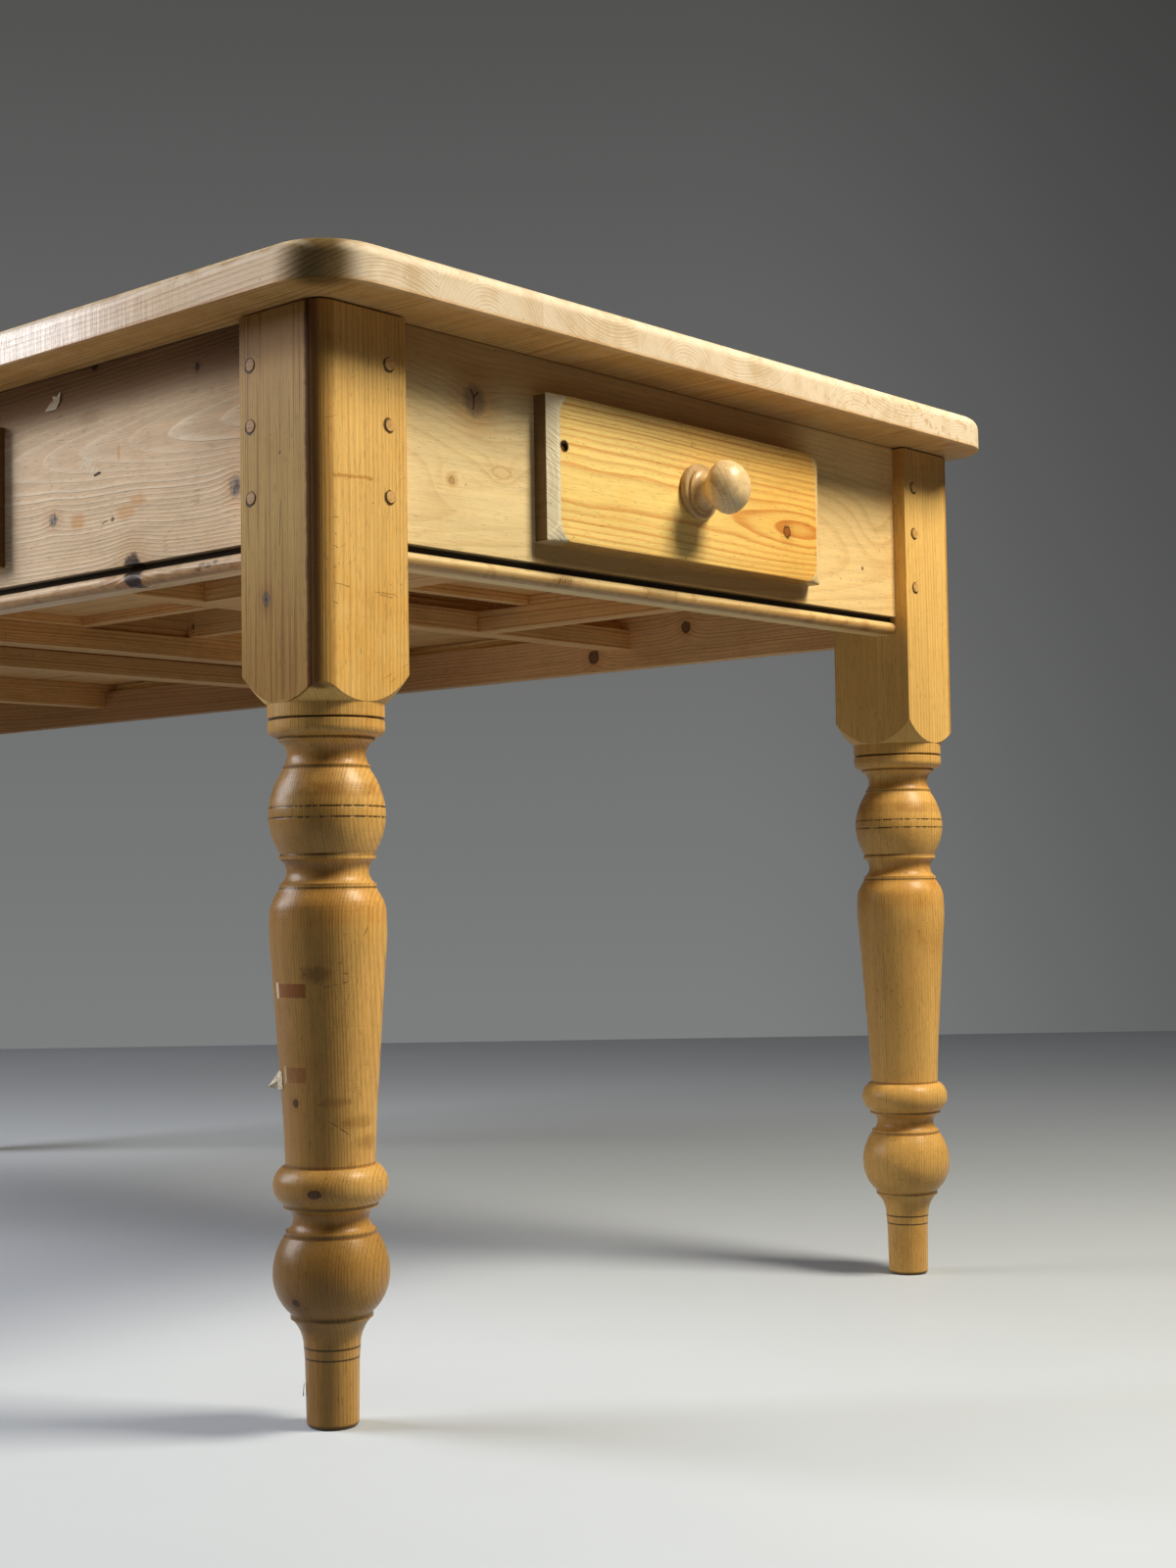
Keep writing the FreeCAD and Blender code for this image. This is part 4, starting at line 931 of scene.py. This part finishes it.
class TABLE_OT_aprons(bpy.types.Operator):
    """Finish the beaded aprons"""
    bl_idname = "pine_table.aprons"
    bl_label = "Aprons"

    def execute(self, context):
        wear = context.scene.table_wear
        far_tones = (shown(244, 194, 130), shown(206, 146, 84))
        near = Wood("Near apron", tones("long"), middle("apron_near"), pith=(0.058, 0.02),
                    tilt=(0.0, 0.045), seed=21.0, ring_width=0.0026, bend=0.008, roughness=0.66,
                    relief=2.3, contrast=0.9, gloss=0.15)
        right = Wood("Right apron", tones("apron"), middle("apron_right"), grain="Y",
                     pith=(-0.11, -0.02), tilt=(0.02, 0.02), seed=22.0, ring_width=0.0026,
                     bend=0.009, roughness=0.56, contrast=0.42, fibre=0.7)
        far = Wood("Far apron", far_tones, middle("apron_far"), pith=(0.05, 0.01),
                   tilt=(0.02, 0.03), seed=23.0, roughness=0.6)
        left = Wood("Left apron", tones("apron"), middle("apron_left"), grain="Y",
                    pith=(0.06, 0.03), tilt=(0.02, -0.04), seed=24.0, roughness=0.56, contrast=0.6)
        self.knots(near, right, far)
        for index, (node, wood, across, side, face) in enumerate((
                ("apron_near", near, near.y, -1, LONG_FACE),
                ("apron_right", right, right.x, 1, END_FACE),
                ("apron_far", far, far.y, 1, LONG_FACE),
                ("apron_left", left, left.x, -1, END_FACE))):
            wood.grow()
            outer = wood.past(wood.g.times(across, side), face - 0.0068, face - 0.0062)
            self.age(wood, 31.0 + index, outer)
            if node == "apron_near":
                self.mark_near(wood)
            elif node == "apron_right":
                self.mark_right(wood)
            elif node == "apron_far":
                # Painted shade: the far apron darker towards -X, in a rail's shadow deep under the
                # table.
                wood.stain(wood.past(wood.x, 0.45, 0.05), (0.52, 0.46, 0.42), 0.9)
            dress(node, wood.finish(), wear.apron_edge)
        return {"FINISHED"}

    def knots(self, near, right, far):
        """Knots of the three aprons that are looked at most."""
        blue, bark = near.pine.blue_colour, near.pine.rim_colour
        soft = shown(176, 156, 134)
        near.knot((0.709, -LONG_FACE, 0.622), (0.006, 0.004, 0.007), lift=2.0, heart=blue,
                  rim=soft)
        near.knot((0.499, -LONG_FACE, 0.6245), (0.005, 0.004, 0.0045), lift=1.5, heart=blue,
                  rim=soft)
        near.knot((0.594, -LONG_FACE, 0.576), (0.009, 0.012, 0.012), lift=3.0,
                  swell=(0.022, 0.03, 0.034), heart=shown(58, 34, 22), rim=bark)
        near.knot((0.5513, -LONG_FACE, 0.731), (0.0035, 0.004, 0.0026), lift=0.5, heart=bark)
        near.knot((0.6689, -LONG_FACE, 0.7103), (0.0022, 0.004, 0.0026), lift=0.8, heart=bark)
        right.knot((END_FACE, -0.2257, 0.6893), (0.004, 0.0105, 0.0105), lift=3.0,
                   swell=(0.02, 0.03, 0.026), heart=shown(150, 122, 92), rim=shown(186, 154, 110),
                   stain=0.7)
        right.knot((END_FACE, -0.2491, 0.6301), (0.004, 0.0024, 0.0024), lift=2.5,
                   swell=(0.02, 0.012, 0.01), heart=shown(190, 152, 98), rim=shown(150, 112, 66),
                   stain=0.5)
        right.knot((END_FACE, -0.199, 0.642), (0.004, 0.009, 0.004), lift=2.5,
                   swell=(0.02, 0.02, 0.014), heart=shown(232, 204, 148), rim=shown(212, 176, 118),
                   stain=0.2)
        right.knot((END_FACE, 0.2531, 0.6196), (0.004, 0.0013, 0.0013), lift=0.4, stain=0.2)
        right.knot((END_FACE, 0.275, 0.655), (0.004, 0.0015, 0.0015), lift=3.0,
                   swell=(0.02, 0.04, 0.028), heart=shown(232, 198, 140), rim=shown(206, 166, 108),
                   stain=0.1)
        for x, z, reach in ((0.402, 0.581, 0.006), (0.5227, 0.6009, 0.005), (-0.35, 0.62, 0.004)):
            far.knot((x, FAR_INSIDE, z), (reach, 0.005, reach), lift=3.0)

    def age(self, wood, seed, outer):
        """Painted shade in the groove and under the top, a worn, smoothed bead darker low down,
        dirt and scuffs.
        """
        g, pine = wood.g, wood.pine
        scratches, patches, specks = wood.scuffs(seed)
        # Painted shade: the groove above the bead painted near black.
        groove = g.times(wood.past(wood.z, GROOVE_LOW - 0.0007, GROOVE_LOW + 0.0006),
                         wood.past(wood.z, GROOVE_HIGH + 0.0005, GROOVE_HIGH - 0.0005), outer)
        wood.paint(groove, shown(26, 17, 10), 0.95)
        wood.polish(groove, 0.3)
        bead = g.times(outer, wood.past(wood.z, GROOVE_LOW + 0.001, GROOVE_LOW))
        wood.stain(g.times(bead, wood.uneven(60.0, 0.48, 0.66)), (0.66, 0.56, 0.46), 0.7)
        wood.stain(g.times(bead, wood.past(wood.z, 0.5735, 0.57)), (0.62, 0.48, 0.34), 0.9)
        wood.polish(bead, -0.25)
        # Painted shade along the joint under the top.
        wood.stain(wood.past(wood.z, 0.73, 0.7316), (0.35, 0.28, 0.22), 0.8)
        wood.stain(patches, (0.93, 0.87, 0.8), 0.8)
        wood.paint(specks, pine.grime_colour, 0.4)
        wood.paint(scratches, pine.raw_colour, 0.25)

    def mark_near(self, wood):
        """Scuffs, resin and raised lines of the near apron, and the top's shadow painted on it."""
        g, pine = wood.g, wood.pine
        wood.press(wood.rings, -0.9)
        face = -LONG_FACE
        wood.paint(wood.spot((0.594, face, 0.5745), (0.008, 0.016, 0.011), 0.45, 0.25),
                   shown(46, 28, 18))
        for x, z, long, high in ((0.7105, 0.622, 0.0022, 0.0042), (0.7075, 0.6195, 0.0012, 0.003),
                                 (0.501, 0.626, 0.001, 0.004), (0.4975, 0.6235, 0.0014, 0.0016)):
            wood.paint(wood.spot((x, face, z), (long, 0.006, high), 0.5, 0.5), shown(84, 76, 76),
                       0.8)
        # Painted shadow of the top's overhang on the apron's upper part.
        wood.stain(wood.past(wood.z, SHADE_LOW, SHADE_HIGH), (0.22, 0.13, 0.06), 0.93)
        wood.stain(g.times(wood.past(wood.x, 0.62, 0.715), wood.past(wood.z, 0.6, 0.68)),
                   (0.56, 0.51, 0.45), 0.8)
        for x, z, long, high, strength in ((0.5296, 0.6198, 0.009, 0.0055, 0.6),
                                           (0.586, 0.6195, 0.01, 0.0055, 0.5),
                                           (0.601, 0.6265, 0.009, 0.0045, 0.5),
                                           (0.579, 0.664, 0.0016, 0.006, 0.6)):
            wood.paint(wood.spot((x, face, z), (long, 0.006, high), 0.45, 0.4), pine.amber_colour,
                       strength)
        for x, z, long, high in ((0.54, 0.661, 0.0075, 0.005), (0.548, 0.656, 0.005, 0.0028)):
            flaked = g.times(wood.spot((x, face, z), (long, 0.006, high), 0.5, 0.5),
                             wood.uneven(420.0, 0.46, 0.56))
            wood.paint(flaked, pine.raw_colour, 0.85)
        wood.paint(wood.stroke((0.5505, face, 0.6512), (0.5568, face, 0.6522), 0.0013, 0.3),
                   pine.rim_colour)
        wood.paint(wood.stroke((0.559, face, 0.6148), (0.5648, face, 0.6162), 0.0007, 0.6),
                   pine.grime_colour, 0.7)
        wood.paint(wood.spot((0.5715, face, 0.6165), (0.0022, 0.006, 0.0018), 0.3, 0.3),
                   pine.knot_colour, 0.8)
        for x, z in ((0.672, 0.5725), (0.679, 0.5715), (0.686, 0.5728), (0.668, 0.57)):
            wood.paint(wood.spot((x, face, z), (0.0034, 0.012, 0.0016), 0.6, 0.4),
                       pine.grime_colour, 0.6)
        for x, z, long in ((0.664, 0.624, 0.006), (0.7, 0.627, 0.004), (0.63, 0.596, 0.004)):
            for row in range(4):
                wood.stain(wood.stroke((x, face, z - 0.003 * row),
                                       (x + long, face, z + 0.0006 - 0.003 * row), 0.0007, 0.6),
                           (0.62, 0.54, 0.48), 0.6)
        wood.stain(wood.spot((0.545, face, 0.694), (0.012, 0.01, 0.006), 0.5, 0.7),
                   (0.72, 0.64, 0.6), 0.6)

    def mark_right(self, wood):
        """The cracked knot, the fence round it, the worn bead of the drawer's apron, and the
        painted shadows of the top and of the drawer front.
        """
        g, pine = wood.g, wood.pine
        wood.press(wood.rings, -0.4)
        face = END_FACE
        for start, end in (((-0.2262, 0.692), (-0.229, 0.6965)),
                           ((-0.2262, 0.692), (-0.2222, 0.6955)),
                           ((-0.2262, 0.692), (-0.2268, 0.6835))):
            wood.paint(wood.stroke((face, *start), (face, *end), 0.0009, 0.4), pine.rim_colour,
                       0.95)
        # Painted shadow of the top's overhang, fading out towards the right.
        wood.stain(g.times(wood.past(wood.z, SHADE_LOW, SHADE_HIGH),
                           wood.past(wood.y, 0.19, 0.12)), (0.5, 0.36, 0.22), 0.85)
        # Painted shadow of the drawer front on the strip of apron below it.
        wood.stain(g.times(wood.past(wood.z, 0.597, 0.595), wood.past(wood.z, 0.577, 0.5785),
                           wood.past(wood.y, -0.17, -0.164),
                           wood.past(wood.y, 0.172, 0.16)), (0.55, 0.42, 0.28), 0.9)
        wood.stain(wood.past(wood.y, -0.15, 0.15), (0.96, 0.84, 0.66), 0.8)
        for offset in range(5):
            y = -0.138 + 0.003 * offset
            wood.paint(wood.stroke((face, y, 0.5745), (face, y - 0.0015, 0.5668), 0.0009, 0.7),
                       pine.rim_colour, 0.6)
        wood.stain(wood.spot((face, -0.132, 0.5715), (0.01, 0.01, 0.005), 0.4, 0.6),
                   (0.6, 0.5, 0.42), 0.7)
        wood.paint(wood.spot((face, 0.176, 0.612), (0.004, 0.003, 0.0035), 0.6, 0.4),
                   pine.blue_colour, 0.7)


class TABLE_OT_pegs(bpy.types.Operator):
    """Finish the pegs of the corner joints"""
    bl_idname = "pine_table.pegs"
    bl_label = "Pegs"

    def execute(self, context):
        pine, wear = context.scene.table_pine, context.scene.table_wear
        wood = Wood("Pegs", (pine.peg_colour, pine.leg_late), ORIGIN, seed=31.0).grow()
        wood.stain(wood.uneven(240.0, 0.4, 0.6), (0.8, 0.72, 0.62), 0.8)
        wood.stain(wood.past(wood.y, -0.3808, -0.3814), (0.5, 0.42, 0.33), 0.9)
        dress("joint_pegs", wood.finish(), wear.box_edge)
        return {"FINISHED"}


class TABLE_OT_scraps(bpy.types.Operator):
    """Add the torn bits of paper and tape left on the near leg and apron"""
    bl_idname = "pine_table.scraps"
    bl_label = "Paper scraps"

    # name: places along one torn edge, then back along the other
    SCRAPS = {
        "tape_scrap_apron": (
            (0.4994, -0.3699, 0.7172), (0.5057, -0.3702, 0.7155), (0.5109, -0.3716, 0.7184),
            (0.5092, -0.3706, 0.7121), (0.5045, -0.3703, 0.7073), (0.5008, -0.3702, 0.7067),
            (0.4913, -0.3712, 0.7069), (0.4961, -0.3703, 0.7118), (0.5, -0.37, 0.7143)),
        "paper_scrap_vase": (
            (0.7512, -0.3716, 0.2318), (0.7552, -0.3732, 0.2306), (0.7556, -0.3728, 0.2198),
            (0.7478, -0.37, 0.2192), (0.7404, -0.3726, 0.2206), (0.744, -0.3712, 0.225)),
        "paper_scrap_foot": (
            (0.757, -0.3575, 0.0288), (0.7578, -0.3588, 0.0272), (0.7572, -0.359, 0.0206),
            (0.7562, -0.3574, 0.0196), (0.7545, -0.3566, 0.0212), (0.7552, -0.3562, 0.0258)),
    }

    def execute(self, context):
        for name, outline in self.SCRAPS.items():
            mesh = bpy.data.meshes.new(name)
            shape = bmesh.new()
            places = [Vector(place) for place in outline]
            centre = shape.verts.new(sum(places, Vector()) / len(places))
            ring = [shape.verts.new(place) for place in places]
            for index, vertex in enumerate(ring):
                shape.faces.new((centre, vertex, ring[(index + 1) % len(ring)]))
            bmesh.ops.subdivide_edges(shape, edges=shape.edges, cuts=3, use_grid_fill=True,
                                      fractal=0.12, along_normal=0.4, seed=len(name))
            bmesh.ops.recalc_face_normals(shape, faces=shape.faces)
            shape.to_mesh(mesh)
            shape.free()
            scrap = bpy.data.objects.new(name, mesh)
            context.scene.collection.objects.link(scrap)
            thickness = scrap.modifiers.new("Paper", "SOLIDIFY")
            thickness.thickness = 0.0002
            scrap.data.materials.append(self.paper(name))
            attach(scrap, "table")
        return {"FINISHED"}

    def paper(self, name):
        """Torn paper: pale fibres, a brown film of old glue, bright torn ends."""
        paper = (shown(206, 190, 160), shown(190, 170, 136))
        wood = Wood(name.replace("_", " "), paper, ORIGIN, seed=3.0, ring_width=0.004,
                    roughness=0.6).grow()
        fibres = wood.uneven(900.0, 0.42, 0.6)
        if name == "tape_scrap_apron":
            wood.stain(fibres, (0.84, 0.82, 0.8))
            wood.paint(wood.past(wood.z, 0.7145, 0.7165), shown(250, 244, 232), 0.9)
            wood.paint(wood.past(wood.z, 0.7085, 0.7072), shown(226, 214, 196), 0.9)
        else:
            wood.paint(fibres, shown(244, 238, 220), 0.8)
        return wood.finish()


# ---------------------------------------------------------------- the carcass and the drawers

class TABLE_OT_carcass(bpy.types.Operator):
    """Finish the rails, runners, guides, kickers and blocks"""
    bl_idname = "pine_table.carcass"
    bl_label = "Carcass"

    def execute(self, context):
        pine, wear = context.scene.table_pine, context.scene.table_wear
        groups = [(name, grain) for start, grain in (("cross_rail_", "Y"), ("end_runner_", "X"))
                  for name in NODES if name.startswith(start)]
        groups += [("drawer_guides", "Y"), ("drawer_kickers", "Y"), ("glue_blocks", "X")]
        for index, (node, grain) in enumerate(groups):
            wood = Wood(f"Inner {node}", tones("inner"), middle(node), grain=grain,
                        pith=(0.02, 0.05), seed=41.0 + index, roughness=0.65,
                        ring_width=0.0034).grow()
            _, patches, specks = wood.scuffs(41.0 + index)
            wood.stain(patches, (0.86, 0.78, 0.68), 0.8)
            wood.paint(specks, pine.grime_colour, 0.5)
            dress(node, wood.finish(), wear.box_edge)
        return {"FINISHED"}


# Each drawer, and the axis that its front runs along.
DRAWERS = {"end_drawer": "Y", "near_right_drawer": "X", "near_left_drawer": "X",
           "far_right_drawer": "X", "far_left_drawer": "X"}


class TABLE_OT_drawer_fronts(bpy.types.Operator):
    """Finish the lipped drawer fronts"""
    bl_idname = "pine_table.drawer_fronts"
    bl_label = "Drawer fronts"

    def execute(self, context):
        pine, wear = context.scene.table_pine, context.scene.table_wear
        for index, (drawer, grain) in enumerate(DRAWERS.items()):
            node = drawer + "_front"
            low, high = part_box(node)
            wood = Wood(f"Front {index + 1}", tones("front"), (low + high) / 2, grain=grain,
                        pith=(-0.0608, -0.008), tilt=(0.01, 0.0), seed=61.0 + index,
                        ring_width=0.0021, roughness=0.42, bend=0.014, fibre=0.9, wax=0.12)
            if drawer == "end_drawer":
                wood.knot((FRONT_FACE, 0.121, 0.6343), (0.006, 0.0042, 0.0048), lift=-3.2,
                          lean=(0.0, 0.032, 0.0), swell=(0.05, 0.075, 0.024),
                          heart=shown(150, 92, 40))
            wood.grow()
            self.age(wood, 81.0 + index, grain, low, high)
            if drawer == "end_drawer":
                wood.paint(wood.spot(NAIL_HOLE, (0.006, 0.0045, 0.0045), 0.1, 0.15),
                           pine.rim_colour)
            dress(node, wood.finish(), wear.front_edge, 3)
        return {"FINISHED"}

    def age(self, wood, seed, grain, low, high):
        """Bleached bevelled ends painted paler as painted light, end faces and bottom edge painted
        brown as shade, wax spots.
        """
        g, pine = wood.g, wood.pine
        _, patches, specks = wood.scuffs(seed)
        axis, along = (1, wood.y) if grain == "Y" else (0, wood.x)
        middle_along, half = (low[axis] + high[axis]) / 2, (high[axis] - low[axis]) / 2
        out = g.gap(along, middle_along)
        height_off = g.gap(wood.z, (low[2] + high[2]) / 2)
        flare = g.times(g.math("POWER", wood.past(height_off, 0.036, 0.06), 1.5), 0.012)
        # The bevelled ends: bleached bare wood, painted paler still as painted light, as if lit
        # like the face.
        worked_bevel_and_light = wood.past(g.plus(out, flare), half - 0.0105, half - 0.0095)
        turned = g.node("Mapping", {"Vector": wood.place, "Rotation": (0.6, 0.0, 0.0)}).outputs[0]
        saw = g.noise(turned, (40.0, 40.0, 900.0), detail=1.0)
        wood.paint(worked_bevel_and_light, shown(255, 246, 214), 0.95)
        wood.stain(g.times(worked_bevel_and_light, g.span(saw, 0.56, 0.64)), (0.7, 0.62, 0.54), 0.6)
        wood.press(g.times(worked_bevel_and_light, saw), 1.5)
        wood.paint(wood.line(out, half - 0.01, 0.0009), pine.raw_colour, 0.5)
        # End grain of the front's ends, painted far darker as shade where no lamp reaches.
        wood.stain(wood.past(out, half - 0.0008, half - 0.0001), (0.15, 0.09, 0.04), 0.97)
        # Painted shade on the front's bottom edge.
        wood.stain(wood.past(wood.z, low[2] + 0.0025, low[2] + 0.0005), (0.42, 0.32, 0.22), 0.9)
        wood.stain(wood.past(along, middle_along - 0.06, middle_along + half), (0.92, 0.74, 0.46),
                   0.9)
        wood.stain(patches, (0.98, 0.9, 0.76), 0.8)
        wood.paint(specks, pine.knot_colour, 0.5)


class TABLE_OT_drawer_boxes(bpy.types.Operator):
    """Finish the drawers' sides, backs and bottoms"""
    bl_idname = "pine_table.drawer_boxes"
    bl_label = "Drawer boxes"

    def execute(self, context):
        wear = context.scene.table_wear
        for index, (drawer, wide) in enumerate(DRAWERS.items()):
            deep = "X" if wide == "Y" else "Y"
            for offset, (part, grain) in enumerate((("_side_left", deep), ("_side_right", deep),
                                                    ("_back", wide), ("_bottom", wide))):
                node = drawer + part
                wood = Wood(f"Box {node}", tones("inner"), middle(node), grain=grain,
                            pith=(0.03, 0.04), seed=71.0 + 4 * index + offset,
                            roughness=0.62).grow()
                wood.stain(wood.scuffs(71.0 + offset)["Patches"], (0.88, 0.8, 0.7), 0.8)
                dress(node, wood.finish(), wear.box_edge)
        return {"FINISHED"}


class TABLE_OT_knobs(bpy.types.Operator):
    """Finish the turned knobs"""
    bl_idname = "pine_table.knobs"
    bl_label = "Knobs"

    def execute(self, context):
        wear = context.scene.table_wear
        for index, (drawer, wide) in enumerate(DRAWERS.items()):
            node = drawer + "_knob"
            deep = "X" if wide == "Y" else "Y"
            wood = Wood(f"Knob {index + 1}", tones("knob"), middle(node), grain=deep,
                        pith=(0.01, 0.005), seed=101.0 + index, ring_width=0.0022,
                        roughness=0.4, contrast=0.5, wax=0.3).grow()
            wood.stain(wood.uneven(130.0, 0.42, 0.62), (0.86, 0.8, 0.74), 0.8)
            low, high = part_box(node)
            end = low if drawer.startswith("near") else high
            along, tip = (wood.x, end[0]) if deep == "X" else (wood.y, end[1])
            # Painted shade on the knob's base plate, under its ball.
            plate = wood.past(wood.g.gap(along, tip), 0.031, 0.036)
            wood.stain(plate, (0.58, 0.52, 0.42), 0.9)
            dress(node, wood.finish(), wear.box_edge)
        return {"FINISHED"}


# ---------------------------------------------------------------- the panel

PIECES = (TABLE_OT_stage, TABLE_OT_top, TABLE_OT_legs, TABLE_OT_aprons, TABLE_OT_pegs,
          TABLE_OT_scraps, TABLE_OT_carcass, TABLE_OT_drawer_fronts, TABLE_OT_drawer_boxes,
          TABLE_OT_knobs)


class TABLE_PT_pieces(bpy.types.Panel):
    """The table's pieces and settings in the 3D view's sidebar"""
    bl_label = "Pine Farmhouse Table"
    bl_idname = "TABLE_PT_pieces"
    bl_space_type = "VIEW_3D"
    bl_region_type = "UI"
    bl_category = "Table"

    def draw(self, context):
        layout = self.layout
        for operator in PIECES:
            layout.operator(operator.bl_idname)
        scene = context.scene
        for group in (scene.table_stage, scene.table_pine, scene.table_wear):
            box = layout.box()
            for name in group.bl_rna.properties.keys():
                if name not in ("rna_type", "name"):
                    box.prop(group, name)


CLASSES = (TableStageSettings, TablePineSettings, TableWearSettings, *PIECES, TABLE_PT_pieces)


def register():
    """Adds the classes and their settings."""
    for cls in CLASSES:
        bpy.utils.register_class(cls)
    bpy.types.Scene.table_stage = PointerProperty(type=TableStageSettings)
    bpy.types.Scene.table_pine = PointerProperty(type=TablePineSettings)
    bpy.types.Scene.table_wear = PointerProperty(type=TableWearSettings)


def unregister():
    """Takes them away again."""
    del bpy.types.Scene.table_wear
    del bpy.types.Scene.table_pine
    del bpy.types.Scene.table_stage
    for cls in reversed(CLASSES):
        bpy.utils.unregister_class(cls)


def main():
    """Builds every piece in order."""
    register()
    for operator in PIECES:
        group, name = operator.bl_idname.split(".")
        getattr(getattr(bpy.ops, group), name)()


if __name__ == "__main__":
    main()
